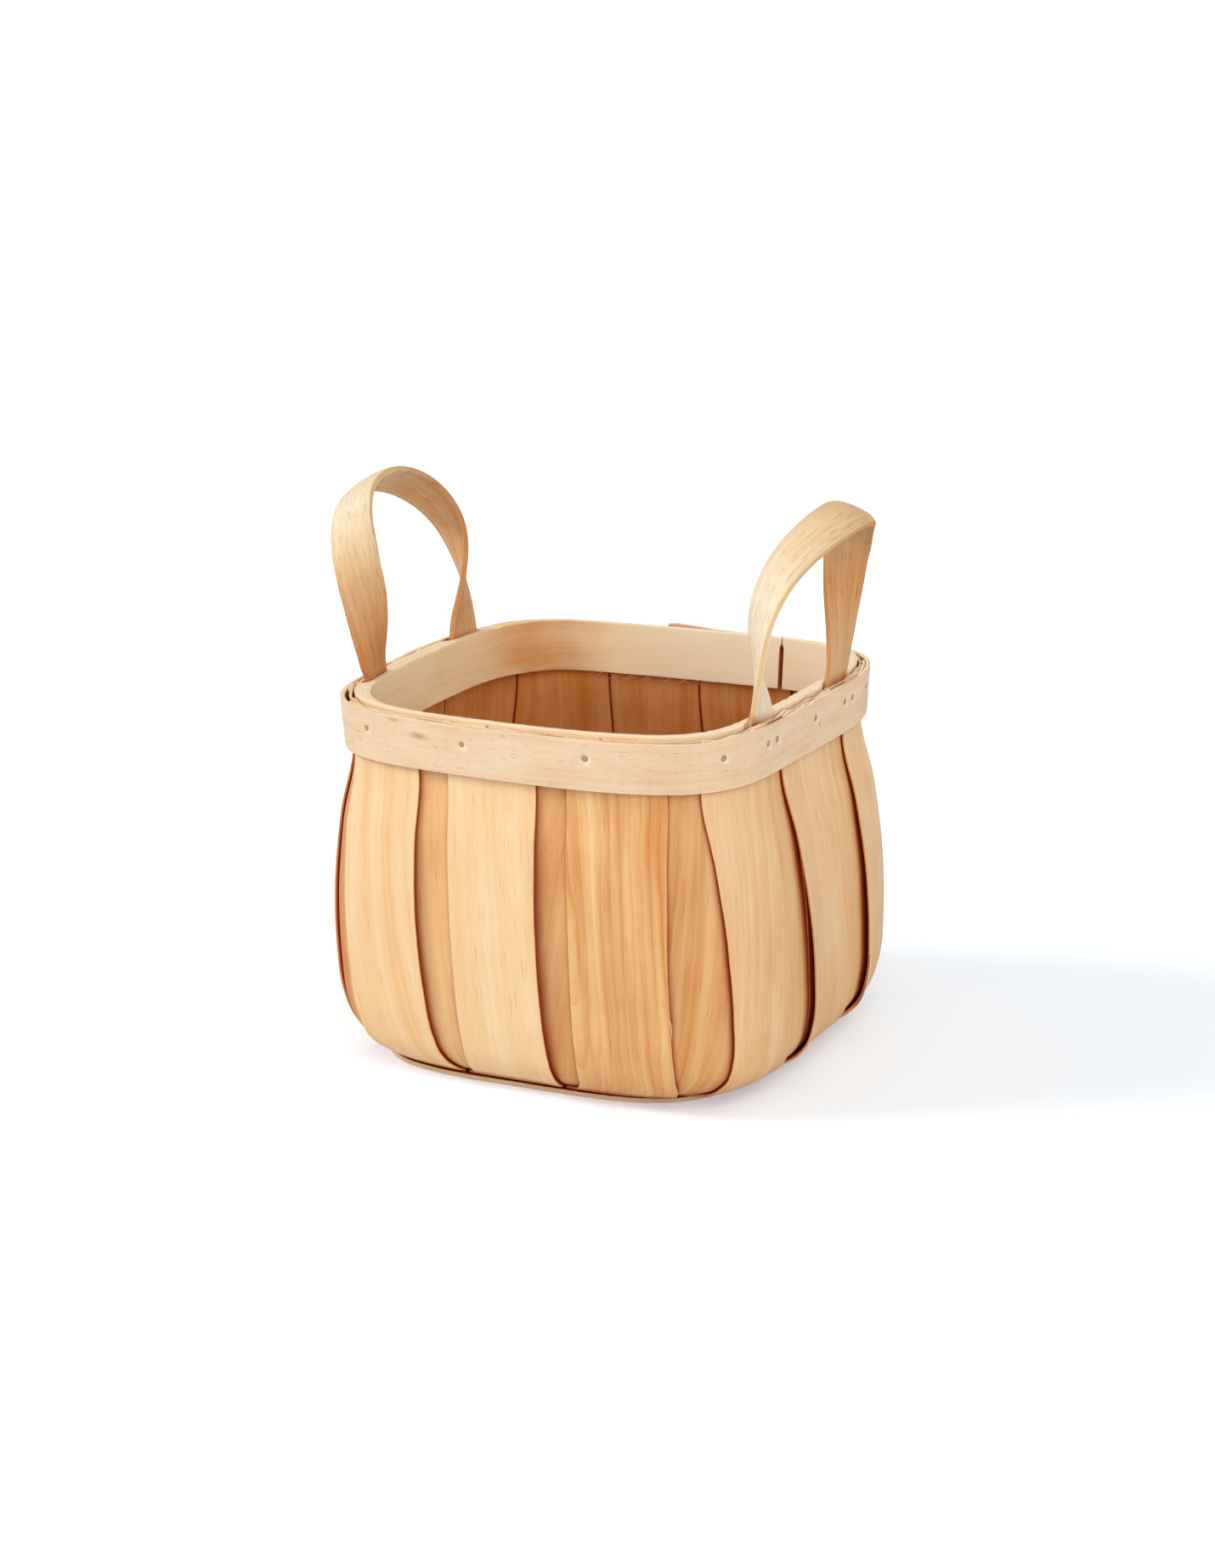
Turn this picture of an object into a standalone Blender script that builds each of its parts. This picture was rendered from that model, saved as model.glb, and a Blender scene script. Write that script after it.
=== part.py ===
"""Berry basket of thin split wood, with two fixed bent handles.

The wall is two layers of upright splints, an outer one with gaps and an inner one that
closes them. The splints bend under the basket, where their feet lie between two square
boards. Their upper ends stand between an outer and an inner hoop, and tacks hold the rim.
Metres, +Z up, origin at the middle of the resting face, front towards -Y.
"""

import math

import bmesh
import bpy
import numpy as np
from mathutils import Matrix, Vector

# Wall, measured on the outer face of the outer splints
BODY_HALF = 0.1052
WALL_TOP = 0.163
BASE_HALF = 0.0845
FOOT_LENGTH = 0.024
CLEARANCE = 0.0003

# The wall's section from the bend up: share of WALL_TOP, share of the way out from BASE_HALF to
# BODY_HALF, squareness of the plan
SECTION_SHARES = (
    (0.025, 0.289, 4.0),
    (0.050, 0.553, 4.2),
    (0.090, 0.781, 4.5),
    (0.160, 0.934, 4.7),
    (0.290, 1.000, 4.8),
    (0.470, 0.990, 4.8),
    (0.670, 0.858, 4.7),
    (0.865, 0.644, 4.5),
    (1.000, 0.710, 4.5),
)
BASE_SQUARENESS = 3.8
# How far the hand-bent rim strays from its even plan: times round, cosine share, sine share
RIM_STRAY_SHARES = ((1, 0.004, 0), (2, -0.014, 0.012), (3, -0.012, 0.008), (4, 0.010, 0))
# The belly leans a little to the right and back: a lower power puts its furthest place lower
BELLY_LEAN_RIGHT = 0.0044
BELLY_LEAN_BACK = 0.0030
BELLY_LEAN_POWER = 0.25

# Stations round the plan, in degrees either side of each of its four sides' middles
STATION_ANGLES = (0, 3, 7.5, 15, 22.5, 30, 37.5, 45)

# Splints
SPLINT_THICKNESS = 0.0012
OUTER_SPLINT_WIDTH = 0.042
OUTER_FIRST_SHARE = -0.0142
# The outer splints are laid by eye. For each, from the front's middle to the right: its share of
# OUTER_SPLINT_WIDTH, then the shares of that width that it is set off by at the rim and more in the
# belly
OUTER_LAY_SHARES = (
    (1.00, 0.03, 0.07),
    (1.05, 0.02, 0.00),
    (1.00, 0.00, 0.10),
    (1.18, 0.10, 0.12),
    (1.00, 0.23, 0.10),
    (1.02, 0.12, 0.05),
    (0.97, -0.03, 0.03),
    (1.04, 0.02, 0.07),
    (0.98, -0.04, 0.10),
    (1.03, 0.03, 0.04),
    (0.99, -0.02, 0.09),
    (1.00, 0.04, 0.19),
)
# The inner splints lie edge to edge, with most seams behind an outer splint. Each seam's share of
# the way round from the front's middle
INNER_SEAM_SHARES = (
    -0.013, 0.062, 0.150, 0.218, 0.274, 0.354, 0.432,
    0.500, 0.565, 0.633, 0.712, 0.763, 0.836, 0.910,
)
SPLINT_SIDE_GAP = 0.0025
# Least width of a splint's facet, as a share of the way from one station to the next
FACET_SHARE = 0.08

# Boards
BOARD_THICKNESS = 0.002
INNER_BOARD_MARGIN = 0.009

# Hoops
OUTER_HOOP_TOP = 0.164
OUTER_HOOP_HEIGHT = 0.022
OUTER_HOOP_THICKNESS = 0.0022
LAP_START_SHARE = 0.465
LAP_LENGTH_SHARE = 0.060
LAP_RAMP_SHARE = 0.045
# The ramp is all the way out by this much before it reaches the band's start
LAP_LEAD_SHARE = 0.024
INNER_HOOP_TOP = 0.166
INNER_HOOP_HEIGHT = 0.024
INNER_HOOP_THICKNESS = 0.003
BUTT_SHARE = 0.439
BUTT_GAP = 0.0012
HOOP_EDGE_ROUND = 0.0004
# The inner hoop stands off the splints where the plan's x is past these shares of its half width
PINCHED_SHARE = 0.60
SPREAD_SHARE = 0.93
# The rim is looser on its left side
LEFT_SLACK = 0.0025

# Handles
HANDLE_WIDTH = 0.0203
HANDLE_THICKNESS = 0.0023
HANDLE_TUCK = 0.020
# Each handle's arch over the rim: its top, half its span at the rim, half its span where it is
# widest and the height there, how far its middle lies from y = 0, and how far out its top leans
LEFT_RISE = 0.0781
LEFT_HALF_FOOT = 0.0431
LEFT_HALF_WIDE = 0.0466
LEFT_WIDE_AT = 0.0408
LEFT_MIDDLE = -0.0023
LEFT_LEAN = 0.0225
RIGHT_RISE = 0.0826
RIGHT_HALF_FOOT = 0.0389
RIGHT_HALF_WIDE = 0.0441
RIGHT_WIDE_AT = 0.0348
RIGHT_MIDDLE = -0.0038
RIGHT_LEAN = 0.0205
# Lean power: a higher one keeps the lean nearer to the top. Twist power: a lower one untwists the
# front leg, or the rear one, sooner. Roundness: 2 is an ellipse, and more is squarer. Crest turn:
# degrees that the top is turned by. Slack: between the splints and the tucked ends
LEFT_HANDLE = {
    "side": -1,
    "rise": LEFT_RISE,
    "half_foot": LEFT_HALF_FOOT,
    "half_wide": LEFT_HALF_WIDE,
    "wide_at": LEFT_WIDE_AT,
    "middle": LEFT_MIDDLE,
    "lean": LEFT_LEAN,
    "lean_power": 2.7,
    "twist_power": (0.75, 0.74),
    "roundness": 2.16,
    "crest_turn": 5,
    "slack": LEFT_SLACK,
}
RIGHT_HANDLE = {
    "side": 1,
    "rise": RIGHT_RISE,
    "half_foot": RIGHT_HALF_FOOT,
    "half_wide": RIGHT_HALF_WIDE,
    "wide_at": RIGHT_WIDE_AT,
    "middle": RIGHT_MIDDLE,
    "lean": RIGHT_LEAN,
    "lean_power": 4.2,
    "twist_power": (0.45, 0.95),
    "roundness": 1.92,
    "crest_turn": -26,
    "slack": 0,
}
# The strap leaves the rim at the wall's slope and straightens up: a higher power does so sooner
STRAIGHTEN_POWER = 4
# Facets from the widest place to the crest
HANDLE_STEPS = 12

# Tacks
TACK_HEAD_RADIUS = 0.00145
TACK_HEAD_THICKNESS = 0.0005
TACK_DOME = 0.0002
TACK_SHANK_RADIUS = 0.0005
TACK_BITE = 0.0015
TACK_TIP = 0.0008
TACK_SIDES = 8
TACK_PAIR_SPACING = 0.0066
RIM_TACK_HEIGHT_SHARE = 0.65
# Along each outer splint's width, the place of its rim tack: none where a leg's pair does its work
RIM_TACK_SHARES = (-0.26, -0.29, -0.27, 0.11, 0.10, -0.20, 0.15, -0.25, None, -0.25, None, -0.07)
# Least wood between a tack's hole and a splint's edge
TACK_EDGE_MARGIN = 0.001
# A tack that is moved off an edge goes this much further than it has to
CLEAR_STEP_SHARE = 0.01
BASE_TACK_INSET = 0.011
# The outer splints whose feet a base tack holds, counted from the front's middle to the right
BASE_TACKED_SPLINTS = (0, 1, 3, 4, 6, 7, 9, 10)

# Heights that follow from the sizes
FOOT_HEIGHT = BOARD_THICKNESS + CLEARANCE

PALE_WOOD = (0.80, 0.60, 0.42)
HONEY_WOOD = (0.66, 0.36, 0.16)
BOARD_WOOD = (0.50, 0.27, 0.12)
HANDLE_WOOD = (0.76, 0.50, 0.26)
STEEL = (0.42, 0.41, 0.39)


def make_material(name, colour, roughness, metallic=0.0):
    material = bpy.data.materials.new(name)
    material.use_nodes = True
    shader = material.node_tree.nodes["Principled BSDF"]
    shader.inputs["Base Color"].default_value = (*colour, 1)
    shader.inputs["Roughness"].default_value = roughness
    shader.inputs["Metallic"].default_value = metallic
    return material


def smoothstep(value):
    value = min(max(value, 0), 1)
    return value * value * (3 - 2 * value)


def belly_share(height):
    """How strongly the belly's stray shows at a height: nothing at the feet and at the rim."""
    climb = (height - FOOT_HEIGHT) / (WALL_TOP - FOOT_HEIGHT)
    return math.sin(math.pi * climb ** BELLY_LEAN_POWER)


def station_angles():
    """Angles round the plan, from the middle of the front and rising to the right."""
    quarter = [math.radians(angle) for angle in STATION_ANGLES]
    beside = quarter + [math.pi / 2 - angle for angle in reversed(quarter[:-1])]
    turns = [side * math.pi / 2 + angle for side in range(4) for angle in beside[:-1]]
    return [angle - math.pi / 2 for angle in turns]


def plan_point(angle, half, squareness, stray=0, lean=0):
    """A point of one plan of the wall: a rounded square, a little out of true at the rim."""
    power = 2 / squareness
    x = half * math.copysign(abs(math.cos(angle)) ** power, math.cos(angle))
    y = half * math.copysign(abs(math.sin(angle)) ** power, math.sin(angle))
    turn = math.atan2(y, x)
    swell = sum(
        cosine * math.cos(times * turn) + sine * math.sin(times * turn)
        for times, cosine, sine in RIM_STRAY_SHARES
    )
    scale = 1 + stray * swell
    return x * scale + lean * BELLY_LEAN_RIGHT, y * scale + lean * BELLY_LEAN_BACK


class Wall:
    """The outer face of the basket's wall, as rows of stations from the feet's tips to the rim.

    A place on it is a row, a share of the way round from the middle of the front, and a depth
    in from the face, square to it.
    """

    def __init__(self):
        sections = [
            (FOOT_HEIGHT, BASE_HALF - FOOT_LENGTH, BASE_SQUARENESS),
            (FOOT_HEIGHT, BASE_HALF, BASE_SQUARENESS),
        ]
        sections += [
            (height * WALL_TOP, BASE_HALF + out * (BODY_HALF - BASE_HALF), squareness)
            for height, out, squareness in SECTION_SHARES
        ]
        angles = station_angles()
        self.rows = len(sections)
        self.grid = np.array([self.ring(angles, *section) for section in sections])
        self.normals = self.vertex_normals()
        steps = np.linalg.norm(np.roll(self.grid, -1, axis=1) - self.grid, axis=2)
        self.lengths = np.concatenate([np.zeros((self.rows, 1)), np.cumsum(steps, axis=1)], axis=1)
        self.rim_row = self.rows - 2
        self.rim_half = sections[self.rim_row][1]

    @staticmethod
    def ring(angles, height, half, squareness):
        stray = height / WALL_TOP
        lean = belly_share(height)
        return [(*plan_point(angle, half, squareness, stray, lean), height) for angle in angles]

    def vertex_normals(self):
        """Outward normals, each stretched so that an offset keeps its distance from both facets."""
        across = np.roll(self.grid, -1, axis=1)
        lower, upper = self.grid[:-1], self.grid[1:]
        lower_across, upper_across = across[:-1], across[1:]
        facets = np.cross(upper_across - lower, upper - lower_across)
        facets /= np.linalg.norm(facets, axis=2, keepdims=True)
        stacked = np.concatenate([facets[:1], facets, facets[-1:]])
        around = np.stack([
            stacked[:-1], stacked[1:], np.roll(stacked[:-1], 1, axis=1), np.roll(stacked[1:], 1, axis=1)
        ])
        mean = around.sum(axis=0)
        mean /= np.linalg.norm(mean, axis=2, keepdims=True)
        nearest = (around * mean).sum(axis=3).min(axis=0)
        return mean / nearest[..., None]

    def perimeter(self, row):
        return self.lengths[row, -1]

    def carried_place(self, row, share):
        """How far round a row a splint at this share of the rim comes, carried straight down.

        It keeps its distance from the middle of its side, so that the belly's extra length
        opens at the corners, and is drawn in where the base is smaller than the rim.
        """
        rim_side = self.perimeter(self.rim_row) / 4
        row_side = self.perimeter(row) / 4
        side = round(share * 4)
        along = share * 4 - side
        if row_side < rim_side:
            return (side + along) * row_side
        to_corner = 2 * along
        return side * row_side + along * rim_side + (row_side - rim_side) / 2 * to_corner ** 3

    def station(self, row, share):
        """The fractional station at a share of the way round a row."""
        turns = math.floor(share)
        stations = self.grid.shape[1]
        place = (share - turns) * self.perimeter(row)
        return turns * stations + np.interp(place, self.lengths[row], np.arange(stations + 1))

    def at_station(self, row, station, depth):
        stations = self.grid.shape[1]
        first = math.floor(station)
        ends = [
            self.grid[row, index % stations] - depth * self.normals[row, index % stations]
            for index in (first, first + 1)
        ]
        return Vector(ends[0] + (ends[1] - ends[0]) * (station - first))

    def at_rim(self, station, height, depth):
        """A point of the rim's straight band, which runs on past the splints' ends."""
        low = self.at_station(self.rim_row, station, depth)
        high = self.at_station(self.rim_row + 1, station, depth)
        return low.lerp(high, (height - low.z) / (high.z - low.z))

    def rim_share_at(self, target_y, side):
        """The share round the rim where the wall on the +X or -X side reaches a y."""
        shares = np.linspace(0, 1, 1 + 4 * self.grid.shape[1])
        points = [self.at_station(self.rim_row, self.station(self.rim_row, share), 0) for share in shares]
        misses = [
            abs(point.y - target_y) if point.x * side > 0 else math.inf for point in points
        ]
        best = int(np.argmin(misses))
        near = np.linspace(shares[best - 1], shares[(best + 1) % len(shares)], 40)
        return min(near, key=lambda share: abs(
            self.at_station(self.rim_row, self.station(self.rim_row, share), 0).y - target_y
        ))


def add_object(name, mesh, material, collection):
    part = bpy.data.objects.new(name, mesh)
    mesh.materials.append(material)
    collection.objects.link(part)
    return part


def grid_object(name, rows, material, collection):
    """An open surface through rows of points, each row as long as the next."""
    columns = len(rows[0]) - 1
    surface = bmesh.new()
    bmesh.ops.create_grid(surface, x_segments=columns, y_segments=len(rows) - 1, size=1)
    for vertex in surface.verts:
        column = round((vertex.co.x + 1) / 2 * columns)
        row = round((vertex.co.y + 1) / 2 * (len(rows) - 1))
        vertex.co = rows[row][column]
    mesh = bpy.data.meshes.new(name)
    surface.to_mesh(mesh)
    surface.free()
    mesh.shade_smooth()
    mesh.set_sharp_from_angle(angle=math.radians(30))
    return add_object(name, mesh, material, collection)


def thicken(part, thickness, offset=-1):
    solidify = part.modifiers.new("Thickness", "SOLIDIFY")
    solidify.thickness = thickness
    solidify.offset = offset
    solidify.use_even_offset = True


def round_edges(part, width):
    bevel = part.modifiers.new("Edges", "BEVEL")
    bevel.width = width
    bevel.segments = 1
    bevel.limit_method = "ANGLE"
    bevel.angle_limit = math.radians(50)


def drill(part, cutters):
    holes = part.modifiers.new("Tack holes", "BOOLEAN")
    holes.operand_type = "COLLECTION"
    holes.collection = cutters
    holes.operation = "DIFFERENCE"
    holes.solver = "EXACT"


def outer_edges(wall, row):
    """Where each outer splint's edges lie on a row, cut back where the wall draws in."""
    lain = []
    belly = belly_share(wall.grid[row, 0, 2])
    for index, (width_share, rim_share, swing_share) in enumerate(OUTER_LAY_SHARES):
        middle = wall.carried_place(row, OUTER_FIRST_SHARE + index / len(OUTER_LAY_SHARES))
        middle += OUTER_SPLINT_WIDTH * (rim_share + swing_share * belly)
        reach = OUTER_SPLINT_WIDTH * width_share / 2
        lain.append((middle - reach, middle + reach))
    edges = []
    for index, (left, right) in enumerate(lain):
        before = lain[index - 1][1] - (wall.perimeter(row) if index == 0 else 0)
        after = lain[index + 1][0] if index + 1 < len(lain) else lain[0][0] + wall.perimeter(row)
        edges.append((
            max(left, (before + left + SPLINT_SIDE_GAP) / 2),
            min(right, (right + after - SPLINT_SIDE_GAP) / 2),
        ))
    return edges


def inner_edges(wall, row):
    """Where each inner splint's edges lie on a row: at its two seams, but for a narrow gap."""
    seams = [wall.carried_place(row, share) for share in (*INNER_SEAM_SHARES, 1 + INNER_SEAM_SHARES[0])]
    return [
        (seam + SPLINT_SIDE_GAP / 2, next_seam - SPLINT_SIDE_GAP / 2)
        for seam, next_seam in zip(seams, seams[1:])
    ]


def make_splint(name, wall, edges, depth, material, collection):
    """One upright splint with its foot, between its left and right edge on each row of the wall."""
    spans = [
        [wall.station(row, place / wall.perimeter(row)) for place in ends]
        for row, ends in enumerate(edges)
    ]
    upright = spans[2:]
    first = math.floor(min(left for left, _ in upright)) + 1
    last = math.ceil(max(right for _, right in upright)) - 1
    rows = []
    for row, (left, right) in enumerate(spans):
        stations = [left]
        for whole in range(first, last + 1):
            least = left + FACET_SHARE * (whole - first + 1)
            most = right - FACET_SHARE * (last - whole + 1)
            stations.append(min(max(whole, least), most))
        stations.append(right)
        rows.append([wall.at_station(row, station, depth) for station in stations])
    splint = grid_object(name, rows, material, collection)
    thicken(splint, SPLINT_THICKNESS)
    return splint


def make_board(name, half, bottom, material, collection):
    outline = bpy.data.curves.new(name, "CURVE")
    outline.dimensions = "2D"
    outline.fill_mode = "BOTH"
    outline.extrude = BOARD_THICKNESS / 2
    spline = outline.splines.new("POLY")
    angles = station_angles()
    spline.points.add(len(angles) - 1)
    for point, angle in zip(spline.points, angles):
        point.co = (*plan_point(angle, half, BASE_SQUARENESS), 0, 1)
    spline.use_cyclic_u = True
    outline.materials.append(material)
    flat = bpy.data.objects.new(name + "_outline", outline)
    collection.objects.link(flat)
    mesh = bpy.data.meshes.new_from_object(flat.evaluated_get(bpy.context.evaluated_depsgraph_get()))
    bpy.data.objects.remove(flat)
    board = bmesh.new()
    board.from_mesh(mesh)
    bmesh.ops.remove_doubles(board, verts=board.verts, dist=CLEARANCE / 10)
    board.to_mesh(mesh)
    board.free()
    part = bpy.data.objects.new(name, mesh)
    part.location.z = bottom + BOARD_THICKNESS / 2
    collection.objects.link(part)
    return part


def stand_off(wall, station):
    """How far the inner hoop stands off the splints: a handle's thickness at the sides, none in front."""
    x = wall.at_station(wall.rim_row, station, 0).x
    reach = abs(x) / wall.rim_half
    spread = smoothstep((reach - PINCHED_SHARE) / (SPREAD_SHARE - PINCHED_SHARE))
    return spread * (HANDLE_THICKNESS + CLEARANCE + (LEFT_SLACK if x < 0 else 0))


def splints_depth():
    """Depth of the face that the inner hoop or a handle's foot lies against."""
    return 2 * (SPLINT_THICKNESS + CLEARANCE)


def lap_offset(share):
    """How far out the outer hoop's last stretch runs, to pass over its own start."""
    ramp_start = 1 + LAP_START_SHARE - LAP_RAMP_SHARE
    rise = smoothstep((share - ramp_start) / (LAP_RAMP_SHARE - LAP_LEAD_SHARE))
    return rise * (OUTER_HOOP_THICKNESS + CLEARANCE)


def band_shares(wall, first_share, last_share):
    """Shares along a hoop's run: both its ends, and every station between them."""
    row = wall.rim_row
    first = wall.station(row, first_share)
    last = wall.station(row, last_share)
    between = range(math.floor(first) + 1, math.ceil(last))
    stations = wall.grid.shape[1]
    inner = [
        index // stations + wall.lengths[row, index % stations] / wall.perimeter(row) for index in between
    ]
    return [first_share, *inner, last_share]


def make_outer_hoop(wall, material, collection):
    last_share = 1 + LAP_START_SHARE + LAP_LENGTH_SHARE
    rows = []
    for height in (OUTER_HOOP_TOP - OUTER_HOOP_HEIGHT, OUTER_HOOP_TOP):
        row = []
        for share in band_shares(wall, LAP_START_SHARE, last_share):
            depth = -(CLEARANCE + OUTER_HOOP_THICKNESS + lap_offset(share))
            row.append(wall.at_rim(wall.station(wall.rim_row, share), height, depth))
        rows.append(row)
    hoop = grid_object("outer_hoop", rows, material, collection)
    thicken(hoop, OUTER_HOOP_THICKNESS)
    round_edges(hoop, HOOP_EDGE_ROUND)
    return hoop


def make_inner_hoop(wall, material, collection):
    half_gap = BUTT_GAP / 2 / wall.perimeter(wall.rim_row)
    shares = band_shares(wall, BUTT_SHARE + half_gap, 1 + BUTT_SHARE - half_gap)
    rows = []
    for height in (INNER_HOOP_TOP - INNER_HOOP_HEIGHT, INNER_HOOP_TOP):
        row = []
        for share in shares:
            station = wall.station(wall.rim_row, share)
            row.append(wall.at_rim(station, height, splints_depth() + stand_off(wall, station)))
        rows.append(row)
    hoop = grid_object("inner_hoop", rows, material, collection)
    thicken(hoop, INNER_HOOP_THICKNESS)
    round_edges(hoop, HOOP_EDGE_ROUND)
    return hoop


def handle_arch(shape, half_foot):
    """The front half of a handle's middle line over the rim, as heights and half spans."""
    points = []
    for step in range(HANDLE_STEPS // 2):
        height = shape["wide_at"] * 2 * step / HANDLE_STEPS
        fall = 1 - height / shape["wide_at"]
        points.append((height, shape["half_wide"] - (shape["half_wide"] - half_foot) * fall * fall))
    for step in range(HANDLE_STEPS + 1):
        angle = math.pi / 2 * step / HANDLE_STEPS
        across = math.cos(angle) ** (2 / shape["roundness"]) if step < HANDLE_STEPS else 0
        upward = math.sin(angle) ** (2 / shape["roundness"])
        height = shape["wide_at"] + (shape["rise"] - shape["wide_at"]) * upward
        points.append((height, shape["half_wide"] * across))
    return points


def foot_row(wall, share, height, slack):
    """A handle's edge, middle and edge where its tucked end lies flat against the inner hoop."""
    reach = HANDLE_WIDTH / 2 / wall.perimeter(wall.rim_row)
    depth = splints_depth() + slack + HANDLE_THICKNESS / 2
    return [
        wall.at_rim(wall.station(wall.rim_row, place), height, depth)
        for place in (share - reach, share, share + reach)
    ]


def handle_rows(wall, shape):
    """Edge, middle and edge points along a handle, from one tucked end over the arch to the other."""
    side = shape["side"]
    feet = []
    for end in (-1, 1):
        share = wall.rim_share_at(shape["middle"] + end * shape["half_foot"], side)
        low = foot_row(wall, share, OUTER_HOOP_TOP - HANDLE_TUCK, shape["slack"])
        feet.append((low, foot_row(wall, share, INNER_HOOP_TOP, shape["slack"])))
    (front_low, front_high), (rear_low, rear_high) = feet
    front, rear = front_high[1], rear_high[1]
    slope = (front.x - front_low[1].x) / (front.z - front_low[1].z)
    middle_y = (front.y + rear.y) / 2
    half_foot = (rear.y - front.y) / 2

    def on_sheet(height, across):
        """A middle point of the arch, and the direction square to the sheet that the arch lies in."""
        rise = height / shape["rise"]
        base = front.lerp(rear, (across + half_foot) / (2 * half_foot))
        lean = side * shape["lean"]
        fade = max(1 - rise, 0)
        x = base.x + slope * height * fade ** STRAIGHTEN_POWER + lean * rise ** shape["lean_power"]
        steepness = slope * fade ** (STRAIGHTEN_POWER - 1) * (fade - STRAIGHTEN_POWER * rise)
        steepness += lean * shape["lean_power"] * rise ** (shape["lean_power"] - 1) / shape["rise"]
        return Vector((x, middle_y + across, INNER_HOOP_TOP + height)), Vector((1, 0, -steepness))

    half = handle_arch(shape, half_foot)
    spans = [(height, -across) for height, across in half]
    spans += [(height, across) for height, across in reversed(half[:-1])]
    sheet = [on_sheet(height, across) for height, across in spans]
    alongs = []
    for index in range(len(sheet)):
        before = sheet[max(index - 1, 0)][0]
        after = sheet[min(index + 1, len(sheet) - 1)][0]
        alongs.append((after - before).normalized())
    squares = [(square - along * square.dot(along)).normalized()
               for (_, square), along in zip(sheet, alongs)]

    def full_turn(index, high):
        """The turn that lays the strap flat on the wall, with its outer face to the basket's middle."""
        across = (high[2] - high[0]).normalized()
        turn = math.atan2(alongs[index].cross(squares[index]).dot(across), squares[index].dot(across))
        return turn if turn * side < 0 else turn + side * -math.pi

    turns = (full_turn(0, front_high), full_turn(-1, rear_high))
    rows = []
    for index, ((point, _), along, square) in enumerate(zip(sheet, alongs, squares)):
        leg = 0 if 2 * index < len(sheet) else 1
        climb = (point.z - INNER_HOOP_TOP) / shape["rise"]
        untwisted = smoothstep(climb) ** shape["twist_power"][leg]
        turn = turns[leg] * (1 - untwisted) + math.radians(shape["crest_turn"]) * untwisted
        reach = (square * math.cos(turn) + along.cross(square) * math.sin(turn)) * HANDLE_WIDTH / 2
        rows.append([point - reach, point, point + reach])

    def facing(row, neighbour):
        """The row, the way round that its neighbour runs."""
        return row if (row[2] - row[0]).dot(neighbour[2] - neighbour[0]) > 0 else row[::-1]

    front_rows = [facing(front_low, rows[0]), facing(front_high, rows[0])]
    rear_rows = [facing(rear_high, rows[-1]), facing(rear_low, rows[-1])]
    return [*front_rows, *rows[1:-1], *rear_rows]


def make_handle(name, wall, shape, material, collection):
    handle = grid_object(name, handle_rows(wall, shape), material, collection)
    thicken(handle, HANDLE_THICKNESS, offset=0)
    return handle


def turned(name, profile, sides, material, collection):
    """A turned piece: the profile runs down its outer side from the axis to the axis."""
    mesh = bpy.data.meshes.new(name)
    line = bmesh.new()
    points = [line.verts.new((radius, 0, height)) for radius, height in profile]
    for start, end in zip(points, points[1:]):
        line.edges.new((start, end))
    line.to_mesh(mesh)
    line.free()
    part = add_object(name, mesh, material, collection)
    screw = part.modifiers.new("Turn", "SCREW")
    screw.steps = sides
    screw.render_steps = sides
    screw.use_merge_vertices = True
    screw.merge_threshold = CLEARANCE / 10
    screw.use_smooth_shade = False
    return part


def make_tack(name, place, outward, length, material, collection, cutters):
    """A flat-headed tack sunk flush in the wood, with the hole that it sits in."""
    under_head = -TACK_DOME - TACK_HEAD_THICKNESS
    tack = turned(name, (
        (0, 0),
        (TACK_HEAD_RADIUS, -TACK_DOME),
        (TACK_HEAD_RADIUS, under_head),
        (TACK_SHANK_RADIUS, under_head),
        (TACK_SHANK_RADIUS, TACK_TIP - length),
        (0, -length),
    ), TACK_SIDES, material, collection)
    seat = under_head - CLEARANCE
    hole_end = -length - CLEARANCE
    hole = turned(name + "_hole", (
        (0, 2 * TACK_HEAD_THICKNESS),
        (TACK_HEAD_RADIUS + CLEARANCE, 2 * TACK_HEAD_THICKNESS),
        (TACK_HEAD_RADIUS + CLEARANCE, seat),
        (TACK_SHANK_RADIUS + CLEARANCE, seat),
        (TACK_SHANK_RADIUS + CLEARANCE, hole_end),
        (0, hole_end),
    ), TACK_SIDES, material, cutters)
    hole.hide_render = True
    hole.display_type = "WIRE"
    turn = outward.to_track_quat("Z", "Y").to_matrix().to_4x4()
    tack.matrix_world = Matrix.Translation(place) @ turn
    hole.matrix_world = tack.matrix_world.copy()


def clear_place(place, edges, perimeter):
    """The nearest place to a wanted one that keeps a tack's hole off each splint's edge."""
    reach = TACK_HEAD_RADIUS + CLEARANCE + TACK_EDGE_MARGIN
    turned_edges = [edge + turn * perimeter for edge in edges for turn in (-1, 0, 1)]
    ends = []
    for side in (-1, 1):
        end = place
        near = [edge for edge in turned_edges if abs(edge - end) < reach]
        while near:
            end = (max(near) if side > 0 else min(near)) + side * reach * (1 + CLEAR_STEP_SHARE)
            near = [edge for edge in turned_edges if abs(edge - end) < reach]
        ends.append(end)
    return min(ends, key=lambda end: abs(end - place))


def both_edges(wall, row):
    """Every edge of both layers on a row."""
    return [edge for pair in outer_edges(wall, row) + inner_edges(wall, row) for edge in pair]


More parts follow.
